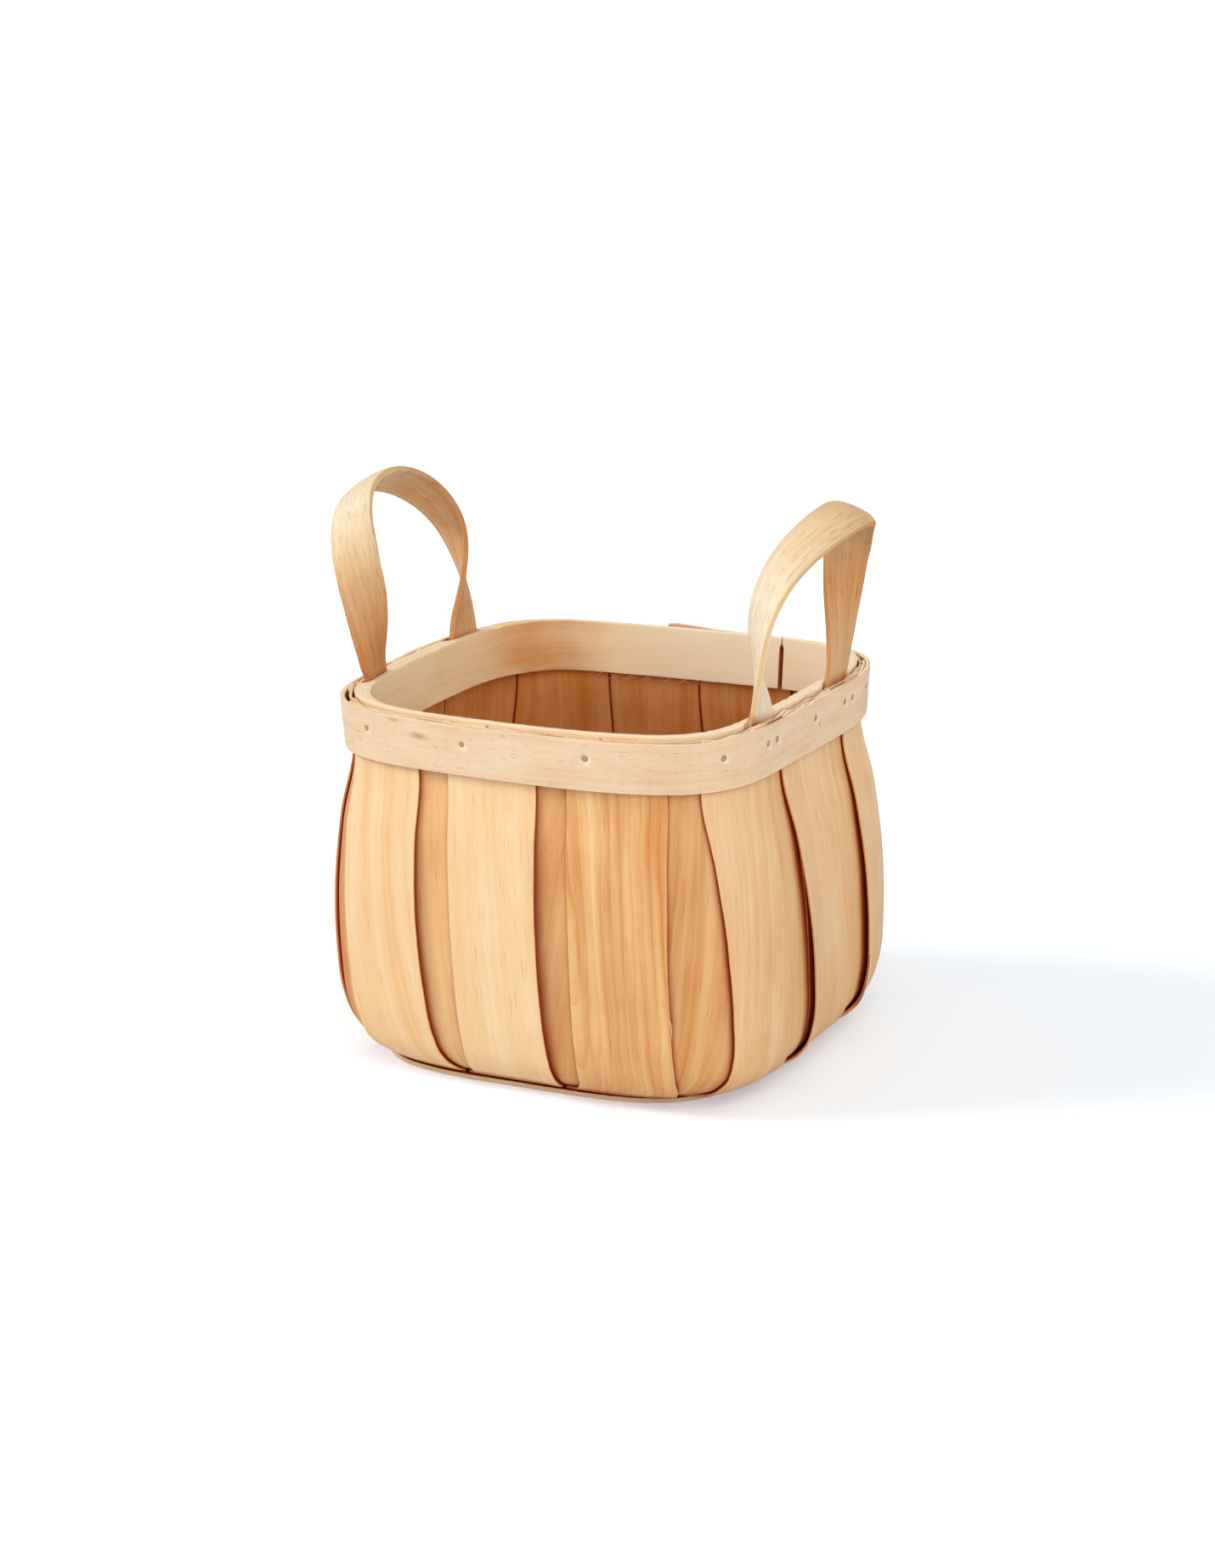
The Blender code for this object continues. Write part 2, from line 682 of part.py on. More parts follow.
def rim_tack_places(wall):
    """Shares round the rim: a pair through each handle's leg, and one tack in each other outer splint."""
    perimeter = wall.perimeter(wall.rim_row)
    places = []
    for shape in (LEFT_HANDLE, RIGHT_HANDLE):
        for end in (-1, 1):
            leg_y = shape["middle"] + end * shape["half_foot"]
            leg = wall.rim_share_at(leg_y, shape["side"]) * perimeter
            places += [leg - TACK_PAIR_SPACING / 2, leg + TACK_PAIR_SPACING / 2]
    for index, offset in enumerate(RIM_TACK_SHARES):
        if offset is not None:
            share = OUTER_FIRST_SHARE + index / len(OUTER_LAY_SHARES)
            set_off = OUTER_LAY_SHARES[index][1] + offset
            places.append(share * perimeter + set_off * OUTER_SPLINT_WIDTH)
    edges = both_edges(wall, wall.rim_row)
    return sorted(clear_place(place, edges, perimeter) / perimeter % 1 for place in places)


def make_rim_tacks(wall, material, collection, cutters):
    height = OUTER_HOOP_TOP - OUTER_HOOP_HEIGHT * (1 - RIM_TACK_HEIGHT_SHARE)
    for index, share in enumerate(rim_tack_places(wall)):
        station = wall.station(wall.rim_row, share)
        lapped = LAP_START_SHARE - LAP_RAMP_SHARE < share < LAP_START_SHARE + LAP_LENGTH_SHARE
        out = CLEARANCE + OUTER_HOOP_THICKNESS + (lap_offset(1 + share) if lapped else 0)
        face = wall.at_rim(station, height, -out)
        behind = splints_depth() + stand_off(wall, station)
        back = wall.at_rim(station, height, behind)
        outward = (face - back).normalized()
        length = (face - back).length + TACK_BITE
        make_tack(f"rim_tack_{index + 1:02d}", face, outward, length, material, collection, cutters)


def make_base_tacks(wall, material, collection, cutters):
    """Tacks up through both boards and the feet between them, a little way in from the base's edge."""
    length = BOARD_THICKNESS / 2 + 2 * SPLINT_THICKNESS + BOARD_THICKNESS + 3 * CLEARANCE
    inward = BASE_TACK_INSET / FOOT_LENGTH
    tips, bend = wall.perimeter(0), wall.perimeter(1)
    perimeter = bend + (tips - bend) * inward

    def along_tacks(row_edges):
        """Places of edges on the ring of tacks, between the bend and the feet's tips."""
        pairs = zip(row_edges(wall, 1), row_edges(wall, 0))
        return [
            [(near / bend * (1 - inward) + far / tips * inward) * perimeter for near, far in zip(*pair)]
            for pair in pairs
        ]

    feet = along_tacks(outer_edges)
    edges = [edge for pair in feet + along_tacks(inner_edges) for edge in pair]
    for count, index in enumerate(BASE_TACKED_SPLINTS):
        share = clear_place(sum(feet[index]) / 2, edges, perimeter) / perimeter
        place = wall.at_station(1, wall.station(1, share), 0).lerp(
            wall.at_station(0, wall.station(0, share), 0), inward
        )
        place.z = 0
        down = Vector((0, 0, -1))
        make_tack(f"base_tack_{count + 1:02d}", place, down, length, material, collection, cutters)


def make_splints(wall, material, collection, cutters):
    layers = (
        ("outer_splint", outer_edges, 0),
        ("inner_splint", inner_edges, SPLINT_THICKNESS + CLEARANCE),
    )
    for layer_name, layer_edges, depth in layers:
        rows = [layer_edges(wall, row) for row in range(wall.rows)]
        for index, edges in enumerate(zip(*rows)):
            name = f"{layer_name}_{index + 1:02d}"
            drill(make_splint(name, wall, edges, depth, material, collection), cutters)


def new_collection(name):
    collection = bpy.data.collections.new(name)
    bpy.context.scene.collection.children.link(collection)
    return collection


def main():
    for old in list(bpy.data.objects):
        bpy.data.objects.remove(old)
    basket = new_collection("berry_basket")
    cutters = new_collection("tack_holes")
    pale = make_material("hoop_wood", PALE_WOOD, 0.55)
    honey = make_material("splint_wood", HONEY_WOOD, 0.55)
    board = make_material("board_wood", BOARD_WOOD, 0.65)
    bent = make_material("handle_wood", HANDLE_WOOD, 0.5)
    steel = make_material("tack_steel", STEEL, 0.4, 1.0)
    wall = Wall()

    make_rim_tacks(wall, steel, basket, cutters)
    make_base_tacks(wall, steel, basket, cutters)

    drill(make_board("base_board", BASE_HALF, 0, board, basket), cutters)
    inner_bottom = BOARD_THICKNESS + 2 * SPLINT_THICKNESS + 3 * CLEARANCE
    inner_half = BASE_HALF - INNER_BOARD_MARGIN
    drill(make_board("inner_board", inner_half, inner_bottom, board, basket), cutters)

    make_splints(wall, honey, basket, cutters)
    drill(make_outer_hoop(wall, pale, basket), cutters)
    drill(make_inner_hoop(wall, pale, basket), cutters)
    drill(make_handle("handle_left", wall, LEFT_HANDLE, bent, basket), cutters)
    drill(make_handle("handle_right", wall, RIGHT_HANDLE, bent, basket), cutters)


main()
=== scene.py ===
"""Berry basket of thin split wood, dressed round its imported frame.

Every wooden piece is swept again over the same wall as its solid, with finer steps, rounded and
frayed edges, lifted splints, dents round the tacks and grain that runs along the wood.
Metres, +Z up, origin at the middle of the resting face, front towards -Y.
"""

import math

import bpy
import numpy as np
from mathutils import Matrix, Vector, noise


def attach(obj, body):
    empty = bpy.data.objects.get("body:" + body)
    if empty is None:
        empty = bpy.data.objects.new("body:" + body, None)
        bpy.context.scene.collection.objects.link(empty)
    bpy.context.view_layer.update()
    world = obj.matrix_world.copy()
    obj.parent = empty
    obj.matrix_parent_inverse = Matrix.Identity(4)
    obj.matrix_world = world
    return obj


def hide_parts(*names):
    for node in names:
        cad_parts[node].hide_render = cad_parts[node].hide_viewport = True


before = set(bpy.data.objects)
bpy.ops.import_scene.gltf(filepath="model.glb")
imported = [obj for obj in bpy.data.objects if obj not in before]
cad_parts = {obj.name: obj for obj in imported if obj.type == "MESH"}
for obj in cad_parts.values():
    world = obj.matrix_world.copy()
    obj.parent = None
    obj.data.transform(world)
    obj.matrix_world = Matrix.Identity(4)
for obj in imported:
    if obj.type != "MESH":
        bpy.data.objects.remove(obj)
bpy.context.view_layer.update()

# The basket's sizes, as its solids have them
BODY_HALF = 0.1052
WALL_TOP = 0.163
BASE_HALF = 0.0845
FOOT_LENGTH = 0.024
CLEARANCE = 0.0003
SECTION_SHARES = (
    (0.025, 0.288, 4.0), (0.050, 0.553, 4.2), (0.090, 0.781, 4.5), (0.160, 0.934, 4.7), (0.290, 1.000, 4.8),
    (0.470, 0.990, 4.8), (0.670, 0.858, 4.7), (0.865, 0.644, 4.5), (1.000, 0.710, 4.5),
)
BASE_SQUARENESS = 3.8
RIM_STRAY_SHARES = ((1, 0.004, 0), (2, -0.014, 0.012), (3, -0.012, 0.008), (4, 0.010, 0))
BELLY_LEAN_RIGHT = 0.0044
BELLY_LEAN_BACK = 0.0030
BELLY_LEAN_POWER = 0.25
SPLINT_THICKNESS = 0.0012
OUTER_SPLINT_WIDTH = 0.042
OUTER_FIRST_SHARE = -0.0142
OUTER_LAY_SHARES = (
    (1.00, 0.03, 0.07), (1.05, 0.02, 0.00), (1.00, 0.00, 0.10), (1.18, 0.10, 0.12),
    (1.00, 0.23, 0.10), (1.02, 0.12, 0.05), (0.97, -0.03, 0.03), (1.04, 0.02, 0.07),
    (0.98, -0.04, 0.10), (1.03, 0.03, 0.04), (0.99, -0.02, 0.09), (1.00, 0.04, 0.19),
)
INNER_SEAM_SHARES = (
    -0.013, 0.062, 0.150, 0.218, 0.274, 0.354, 0.432,
    0.500, 0.565, 0.633, 0.712, 0.763, 0.836, 0.910,
)
SPLINT_SIDE_GAP = 0.0025
INNER_SEAM_GAP = 0.0012
BOARD_THICKNESS = 0.002
INNER_BOARD_MARGIN = 0.009
OUTER_HOOP_TOP = 0.164
OUTER_HOOP_HEIGHT = 0.022
OUTER_HOOP_THICKNESS = 0.0022
LAP_START_SHARE = 0.465
LAP_LENGTH_SHARE = 0.060
LAP_RAMP_SHARE = 0.045
LAP_LEAD_SHARE = 0.024
INNER_HOOP_TOP = 0.166
INNER_HOOP_HEIGHT = 0.024
INNER_HOOP_THICKNESS = 0.003
BUTT_SHARE = 0.439
PINCHED_SHARE = 0.60
SPREAD_SHARE = 0.93
LEFT_SLACK = 0.0025
HANDLE_WIDTH = 0.0203
HANDLE_THICKNESS = 0.0023
HANDLE_TUCK = 0.020
LEFT_HANDLE = {
    "side": -1, "rise": 0.0781, "half_foot": 0.0431, "half_wide": 0.0466, "wide_at": 0.0408,
    "middle": -0.0023, "lean": 0.0225, "lean_power": 2.7, "twist_power": (0.75, 0.74),
    "roundness": 2.16, "crest_turn": 5, "slack": LEFT_SLACK, "droop": 0.0004,
}
RIGHT_HANDLE = {
    "side": 1, "rise": 0.0826, "half_foot": 0.0389, "half_wide": 0.0441, "wide_at": 0.0348,
    "middle": -0.0038, "lean": 0.0205, "lean_power": 4.2, "twist_power": (0.45, 0.95),
    "roundness": 1.92, "crest_turn": -26, "slack": 0, "droop": 0.0015,
}
STRAIGHTEN_POWER = 4
HANDLE_STEPS = 12
TACK_HEAD_RADIUS = 0.00145
TACK_HEAD_THICKNESS = 0.0005
TACK_SHANK_RADIUS = 0.0005
FOOT_HEIGHT = BOARD_THICKNESS + CLEARANCE

# How finely the pieces are swept
ROW_STEP = 0.0016
RING_STEPS = 1440
HOOP_STEP = 0.0009
HANDLE_STEP = 0.0012
EDGE_ROUND = 0.00035


def smoothstep(value):
    value = np.clip(value, 0, 1)
    return value * value * (3 - 2 * value)


def wave(*place):
    """Smooth noise between about -1 and 1 at a place."""
    return noise.noise(Vector((*place, 0, 0, 0)[:3]))


def unit(vectors):
    return vectors / np.linalg.norm(vectors, axis=-1, keepdims=True)


# The wall

def belly_share(height):
    climb = (height - FOOT_HEIGHT) / (WALL_TOP - FOOT_HEIGHT)
    return math.sin(math.pi * min(max(climb, 0), 1) ** BELLY_LEAN_POWER)


def smooth_profile():
    """Half width, height and squareness of the wall at even steps from the feet's tips to the rim."""
    sections = [(BASE_HALF - FOOT_LENGTH, FOOT_HEIGHT, BASE_SQUARENESS), (BASE_HALF, FOOT_HEIGHT, BASE_SQUARENESS)]
    sections += [
        (BASE_HALF + out * (BODY_HALF - BASE_HALF), height * WALL_TOP, squareness)
        for height, out, squareness in SECTION_SHARES
    ]
    sections = np.array(sections)
    points = sections[:, :2]
    chords = np.linalg.norm(np.diff(points, axis=0), axis=1)
    along = np.concatenate([[0], np.cumsum(chords)])
    slopes = np.diff(points, axis=0) / chords[:, None]
    tangents = np.empty_like(points)
    tangents[1:-1] = (slopes[:-1] * chords[1:, None] + slopes[1:] * chords[:-1, None]) \
        / (chords[:-1] + chords[1:])[:, None]
    tangents[:2] = slopes[0]
    tangents[-2:] = slopes[-1]
    steps = np.linspace(0, along[-1], round(along[-1] / ROW_STEP) + 1)
    index = np.clip(np.searchsorted(along, steps, side="right") - 1, 0, len(chords) - 1)
    length = chords[index][:, None]
    t = ((steps - along[index]) / chords[index])[:, None]
    curve = (2 * t**3 - 3 * t**2 + 1) * points[index] + (t**3 - 2 * t**2 + t) * length * tangents[index] \
        + (3 * t**2 - 2 * t**3) * points[index + 1] + (t**3 - t**2) * length * tangents[index + 1]
    return steps, curve[:, 0], curve[:, 1], np.interp(steps, along, sections[:, 2])


def ring(half, height, squareness):
    """One plan of the wall, from the middle of the front and round by the right."""
    turn = -math.pi / 2 + 2 * math.pi * np.arange(RING_STEPS) / RING_STEPS
    reach = (np.abs(np.cos(turn)) ** squareness + np.abs(np.sin(turn)) ** squareness) ** (-1 / squareness)
    swell = sum(
        cosine * np.cos(times * turn) + sine * np.sin(times * turn)
        for times, cosine, sine in RIM_STRAY_SHARES
    )
    reach = reach * half * (1 + height / WALL_TOP * swell)
    lean = belly_share(height)
    return np.stack([
        reach * np.cos(turn) + lean * BELLY_LEAN_RIGHT,
        reach * np.sin(turn) + lean * BELLY_LEAN_BACK,
        np.full(RING_STEPS, height),
    ], axis=1)


def around_lengths(rings):
    steps = np.linalg.norm(np.roll(rings, -1, axis=-2) - rings, axis=-1)
    zero = np.zeros(steps.shape[:-1] + (1,))
    return np.concatenate([zero, np.cumsum(steps, axis=-1)], axis=-1)


def at_columns(field, columns):
    """Values of a ring's field at fractional columns."""
    first = np.floor(columns).astype(int)
    part = (columns - first)[:, None]
    return field[first % RING_STEPS] * (1 - part) + field[(first + 1) % RING_STEPS] * part


class Shell:
    """The outer face of the wall: fine rows from the feet's tips to the rim, and the rim's band."""

    def __init__(self):
        self.along, halves, self.heights, squarenesses = smooth_profile()
        self.grid = np.array([ring(*section) for section in zip(halves, self.heights, squarenesses)])
        around = np.roll(self.grid, -1, axis=1) - np.roll(self.grid, 1, axis=1)
        self.normals = unit(np.cross(around, np.gradient(self.grid, axis=0)))
        self.lengths = around_lengths(self.grid)
        low_height, low_out, low_square = SECTION_SHARES[-2]
        high_height, high_out, high_square = SECTION_SHARES[-1]
        spread = BODY_HALF - BASE_HALF
        self.low = ring(BASE_HALF + low_out * spread, low_height * WALL_TOP, low_square)
        self.high = ring(BASE_HALF + high_out * spread, high_height * WALL_TOP, high_square)
        rim_around = np.roll(self.low, -1, axis=0) - np.roll(self.low, 1, axis=0)
        self.rim_normals = unit(np.cross(rim_around, self.high - self.low))
        self.rim_lengths = around_lengths(self.low)
        self.rim_perimeter = self.rim_lengths[-1]
        self.rim_half = BASE_HALF + low_out * spread

    def face(self, row, places, depths):
        """Points of a row at places round it, each a depth in from the face."""
        perimeter = self.lengths[row, -1]
        columns = np.interp(places % perimeter, self.lengths[row], np.arange(RING_STEPS + 1))
        return at_columns(self.grid[row], columns) - at_columns(self.normals[row], columns) * depths[:, None]

    def rim(self, shares, heights, depths):
        """Points of the rim's straight band."""
        places = (shares % 1) * self.rim_perimeter
        columns = np.interp(places, self.rim_lengths, np.arange(RING_STEPS + 1))
        inward = at_columns(self.rim_normals, columns) * depths[:, None]
        low = at_columns(self.low, columns) - inward
        high = at_columns(self.high, columns) - inward
        part = (heights - low[:, 2]) / (high[:, 2] - low[:, 2])
        return low + (high - low) * part[:, None]

    def rim_share(self, target_y, side):
        misses = np.where(self.low[:, 0] * side > 0, np.abs(self.low[:, 1] - target_y), np.inf)
        return self.rim_lengths[int(np.argmin(misses))] / self.rim_perimeter

    def carried_place(self, row, share):
        """How far round a row a splint at this share of the rim comes, carried straight down."""
        rim_side = self.rim_perimeter / 4
        row_side = self.lengths[row, -1] / 4
        side = round(share * 4)
        along = share * 4 - side
        if row_side < rim_side:
            return (side + along) * row_side
        return side * row_side + along * rim_side + (row_side - rim_side) / 2 * (2 * along) ** 3


shell = Shell()


def outer_edges(row):
    """Where each outer splint's edges lie on a row, cut back where the wall draws in."""
    lain = []
    belly = belly_share(shell.heights[row])
    perimeter = shell.lengths[row, -1]
    for index, (width_share, rim_share, swing_share) in enumerate(OUTER_LAY_SHARES):
        middle = shell.carried_place(row, OUTER_FIRST_SHARE + index / len(OUTER_LAY_SHARES))
        middle += OUTER_SPLINT_WIDTH * (rim_share + swing_share * belly)
        reach = OUTER_SPLINT_WIDTH * width_share / 2
        lain.append((middle - reach, middle + reach))
    edges = []
    for index, (left, right) in enumerate(lain):
        before = lain[index - 1][1] - (perimeter if index == 0 else 0)
        after = lain[index + 1][0] if index + 1 < len(lain) else lain[0][0] + perimeter
        edges.append((
            max(left, (before + left + SPLINT_SIDE_GAP) / 2),
            min(right, (right + after - SPLINT_SIDE_GAP) / 2),
        ))
    return edges


def inner_edges(row):
    seams = [shell.carried_place(row, share) for share in (*INNER_SEAM_SHARES, 1 + INNER_SEAM_SHARES[0])]
    return [(a + INNER_SEAM_GAP / 2, b - INNER_SEAM_GAP / 2) for a, b in zip(seams, seams[1:])]


# Swept meshes

def section(width, thickness, step):
    """Shares across a strip, with extra columns at its edges, and how far each face is drawn in there."""
    rounding = min(EDGE_ROUND, thickness * 0.45)
    fine = np.array([0, 0.12, 0.35, 0.65, 1.0]) * rounding
    count = max(round((width - 2 * rounding) / step), 2)
    across = np.concatenate([fine, np.linspace(rounding, width - rounding, count + 1)[1:-1], (width - fine)[::-1]])
    inset = np.clip(1 - np.minimum(across, width - across) / rounding, 0, 1)
    return across / width, rounding * (1 - np.sqrt(1 - inset**2))


def mark(mesh, title, values):
    """Writes a number or a vector for each point of a mesh, for its materials."""
    if values.shape[-1] == 3:
        mesh.attributes.new(title, "FLOAT_VECTOR", "POINT").data.foreach_set(
            "vector", values.reshape(-1).astype(np.float32))
    else:
        mesh.attributes.new(title, "FLOAT", "POINT").data.foreach_set(
            "value", values.reshape(-1).astype(np.float32))


def sweep(name, outer, inner, grain, tone, slots, face_marks=None, raw_rows=0):
    """A closed strip between two grids of points, with its grain's coordinates and its tone.

    Its cut edges take the second material slot. Its ends take the third, and so do its last raw rows.
    """
    rows, columns = outer.shape[:2]
    loops = np.concatenate([outer, inner[:, ::-1]], axis=1)
    grains = np.concatenate([grain[0], grain[1][:, ::-1]], axis=1)
    around = 2 * columns
    faces, cut = [], []
    for row in range(rows - 1):
        here, there = row * around, (row + 1) * around
        for column in range(around):
            after = (column + 1) % around
            faces.append((here + column, here + after, there + after, there + column))
            cut.append(2 if row >= rows - 1 - raw_rows else int(column in (columns - 1, around - 1)))
    for base, order in ((0, 1), ((rows - 1) * around, -1)):
        for column in range(columns - 1):
            mirror = around - 1 - column
            face = (base + column, base + mirror, base + mirror - 1, base + column + 1)
            faces.append(face[::order])
            cut.append(2)
    mesh = bpy.data.meshes.new(name)
    mesh.from_pydata(loops.reshape(-1, 3).tolist(), [], faces)
    mesh.polygons.foreach_set("material_index", cut)
    tones = np.broadcast_to(np.asarray(tone, float).reshape(-1, 1, 3), (rows, around, 3))
    dents = np.zeros((rows, around))
    if face_marks is not None:
        dents[:, :columns] = face_marks
    mark(mesh, "grain", grains)
    mark(mesh, "tone", tones)
    mark(mesh, "dent", dents)
    mesh.shade_smooth()
    mesh.set_sharp_from_angle(angle=math.radians(50))
    piece = bpy.data.objects.new(name, mesh)
    bpy.context.scene.collection.objects.link(piece)
    for material in slots:
        mesh.materials.append(material)
    return piece


def dress(piece, node):
    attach(piece, "root")
    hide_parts(node)
    return piece


# Materials

def srgb(red, green, blue):
    def linear(value):
        value /= 255
        return value / 12.92 if value <= 0.04045 else ((value + 0.055) / 1.055) ** 2.4
    return (linear(red), linear(green), linear(blue), 1)


class Graph:
    """Short ways to write a material's nodes. Each call gives the new node's output."""

    def __init__(self, name):
        self.material = bpy.data.materials.new(name)
        self.material.use_nodes = True
        self.tree = self.material.node_tree
        self.shader = self.tree.nodes["Principled BSDF"]

    def put(self, socket, value):
        if isinstance(value, bpy.types.NodeSocket):
            self.tree.links.new(value, socket)
        else:
            socket.default_value = value

    def attribute(self, name, output="Vector"):
        node = self.tree.nodes.new("ShaderNodeAttribute")
        node.attribute_name = name
        return node.outputs[output]

    def split(self, vector):
        node = self.tree.nodes.new("ShaderNodeSeparateXYZ")
        self.put(node.inputs[0], vector)
        return node.outputs

    def join(self, x, y, z):
        node = self.tree.nodes.new("ShaderNodeCombineXYZ")
        for socket, value in zip(node.inputs, (x, y, z)):
            self.put(socket, value)
        return node.outputs[0]

    def math(self, operation, first, second=0.0, clamp=False):
        node = self.tree.nodes.new("ShaderNodeMath")
        node.operation = operation
        node.use_clamp = clamp
        self.put(node.inputs[0], first)
        self.put(node.inputs[1], second)
        return node.outputs[0]

    def total(self, *terms):
        value = terms[0]
        for term in terms[1:]:
            value = self.math("ADD", value, term)
        return value

    def centred(self, value, amount):
        """A 0 to 1 value as an offset either side of nothing."""
        return self.math("MULTIPLY", self.math("SUBTRACT", value, 0.5), amount)

    def noise(self, x, y, z, scales, detail=2.0, roughness=0.5):
        node = self.tree.nodes.new("ShaderNodeTexNoise")
        node.inputs["Scale"].default_value = 1
        node.inputs["Detail"].default_value = detail
        node.inputs["Roughness"].default_value = roughness
        scaled = [self.math("MULTIPLY", value, scale) for value, scale in zip((x, y, z), scales)]
        self.put(node.inputs["Vector"], self.join(*scaled))
        return node.outputs["Fac"]

    def ramp(self, factor, *stops):
        node = self.tree.nodes.new("ShaderNodeValToRGB")
        self.put(node.inputs[0], factor)
        elements = node.color_ramp.elements
        while len(elements) < len(stops):
            elements.new(0.5)
        for element, (position, colour) in zip(elements, stops):
            element.position = position
            element.color = colour
        return node.outputs[0]

    def mix(self, factor, first, second, blend="MIX"):
        node = self.tree.nodes.new("ShaderNodeMix")
        node.data_type = "RGBA"
        node.blend_type = blend
        self.put(node.inputs["Factor"], factor)
        self.put(node.inputs["A"], first)
        self.put(node.inputs["B"], second)
        return node.outputs["Result"]

    def painted_crevice_shade(self, reach, amount):
        """Painted shade: how deep the surface lies in a corner or under a neighbour, from ambient occlusion, as a
        share to darken its colour by.
        """
        node = self.tree.nodes.new("ShaderNodeAmbientOcclusion")
        node.samples = 8
        node.inputs["Distance"].default_value = reach
        return self.math("MULTIPLY", self.math("SUBTRACT", 0.88, node.outputs["AO"]), amount, clamp=True)

    def finish(self, colour, roughness, height, distance, strength=1.0, specular=0.35):
        self.put(self.shader.inputs["Base Color"], colour)
        self.put(self.shader.inputs["Roughness"], roughness)
        self.shader.inputs["Specular IOR Level"].default_value = specular
        bump = self.tree.nodes.new("ShaderNodeBump")
        bump.inputs["Strength"].default_value = strength
        bump.inputs["Distance"].default_value = distance
        self.put(bump.inputs["Height"], height)
        self.put(self.shader.inputs["Normal"], bump.outputs[0])
        return self.material


def wood(name, pale, middle, deep, bands=0.7, streak=0.3, hair=0.4, mottle=0.3, rings=0.2, rough=0.55,
         hair_size=(2600, 30), hair_level=0.66, bump=0.35, crevice_shade=1.9):
    """Wood whose grain runs along the z of the grain attribute. Its tone attribute gives how deep it is,
    how much its patches redden and how strong its figure is."""
    g = Graph(name)
    x, y, z = g.split(g.attribute("grain"))
    depth, redness, figure = g.split(g.attribute("tone"))
    wander = g.noise(x, y, z, (30, 3, 8), detail=1)
    bent = g.math("ADD", x, g.centred(wander, 0.009))
    wide = g.noise(bent, y, z, (130, 3, 5), detail=2, roughness=0.45)
    patches = g.noise(bent, y, z, (55, 3, 22), detail=2)
    streaks = g.noise(bent, y, z, (520, 3, 8), detail=3, roughness=0.6)
    lines = g.noise(bent, y, z, (2100, 3, 26), detail=2, roughness=0.65)
    fibres = g.noise(x, y, z, (4200, 900, 130), detail=2)
    taper = g.math("MULTIPLY", z, 0.11)
    reach = g.math("SQRT", g.math("ADD", g.math("MULTIPLY", bent, bent), g.math("MULTIPLY", taper, taper)))
    turns = g.math("MULTIPLY", g.math("ADD", reach, g.centred(patches, 0.006)), 1 / 0.0042)
    growth = g.centred(g.math("POWER", g.math("FRACT", turns), 2.0), rings)
    shade = g.total(
        0.5,
        depth,
        g.math("MULTIPLY", g.centred(wide, bands), g.math("ADD", figure, 0.25)),
        g.centred(patches, mottle),
        g.centred(streaks, streak),
        g.centred(lines, streak * 0.6),
        g.math("MULTIPLY", growth, figure),
    )
    colour = g.ramp(shade, (0.0, pale), (0.5, middle), (1.0, deep))
    blush = g.math("MULTIPLY", g.math("MULTIPLY", patches, redness), 1.6, clamp=True)
    colour = g.mix(blush, colour, srgb(244, 196, 158), "MULTIPLY")
    hairs = g.noise(bent, y, z, (hair_size[0], 3, hair_size[1]), detail=1)
    hairs = g.math("MULTIPLY", g.math("SUBTRACT", hairs, hair_level, clamp=True), 7.0, clamp=True)
    colour = g.mix(g.math("MULTIPLY", hairs, hair), colour, srgb(176, 122, 76), "MULTIPLY")
    dent = g.attribute("dent", "Fac")
    colour = g.mix(g.math("MULTIPLY", dent, 0.7, clamp=True), colour, srgb(252, 240, 222))
    stain = g.math("MULTIPLY", dent, -1.0, clamp=True)
    colour = g.mix(stain, colour, srgb(178, 112, 66))
    # Painted shade: the colour darkens towards a deep orange brown in corners, in gaps and under lifted edges
    colour = g.mix(g.painted_crevice_shade(0.008, crevice_shade), colour, srgb(194, 98, 44), "MULTIPLY")
    height = g.total(
        g.math("MULTIPLY", fibres, 0.5),
        g.math("MULTIPLY", lines, 0.5),
        g.math("MULTIPLY", streaks, 0.3),
        g.math("MULTIPLY", hairs, -0.5),
    )
    roughness = g.math("ADD", g.centred(fibres, 0.2), rough)
    return g.finish(colour, roughness, height, 0.00018, strength=bump, specular=0.3)


def cut_wood(name, pale, deep):
    """The wood's cut edges: the plies of its fibres show as lines along them."""
    g = Graph(name)
    x, y, z = g.split(g.attribute("grain"))
    lightness = g.split(g.attribute("tone"))[0]
    plies = g.noise(x, y, z, (800, 3500, 60), detail=3, roughness=0.7)
    shade = g.total(0.5, g.centred(plies, 1.4), g.math("MULTIPLY", lightness, 1.0))
    colour = g.ramp(shade, (0.0, pale), (1.0, deep))
    return g.finish(colour, 0.75, plies, 0.0002, strength=0.7, specular=0.2)


SPLINT = wood("splint_veneer", srgb(248, 222, 180), srgb(238, 192, 134), srgb(210, 132, 58),
              bands=1.1, streak=0.24, hair=0.75, mottle=0.4, rings=0.17, hair_size=(3000, 60), hair_level=0.64)
SPLINT_CUT = cut_wood("splint_cut_edge", srgb(228, 160, 92), srgb(190, 114, 54))
HOOP = wood("hoop_veneer", srgb(248, 228, 200), srgb(238, 206, 168), srgb(216, 162, 108),
            bands=0.7, streak=0.45, hair=0.7, mottle=0.6, rings=0.1, hair_size=(4200, 190), hair_level=0.63,
            bump=0.6, crevice_shade=1.1)
INNER_HOOP = wood("inner_hoop_veneer", srgb(255, 240, 210), srgb(250, 224, 182), srgb(220, 160, 98),
                  bands=0.7, streak=0.3, hair=0.2, mottle=0.5, rings=0.1, hair_size=(4200, 190), hair_level=0.63,
                  bump=0.4, crevice_shade=0.5)
HOOP_CUT = cut_wood("hoop_cut_edge", srgb(255, 240, 212), srgb(234, 196, 148))
HANDLE = wood("handle_veneer", srgb(248, 234, 208), srgb(226, 192, 144), srgb(206, 130, 56),
              bands=0.4, streak=0.5, hair=0.9, mottle=0.3, rings=0.1, hair_size=(3200, 110), hair_level=0.61,
              bump=0.5)
HANDLE_CUT = cut_wood("handle_cut_edge", srgb(242, 206, 152), srgb(190, 118, 60))
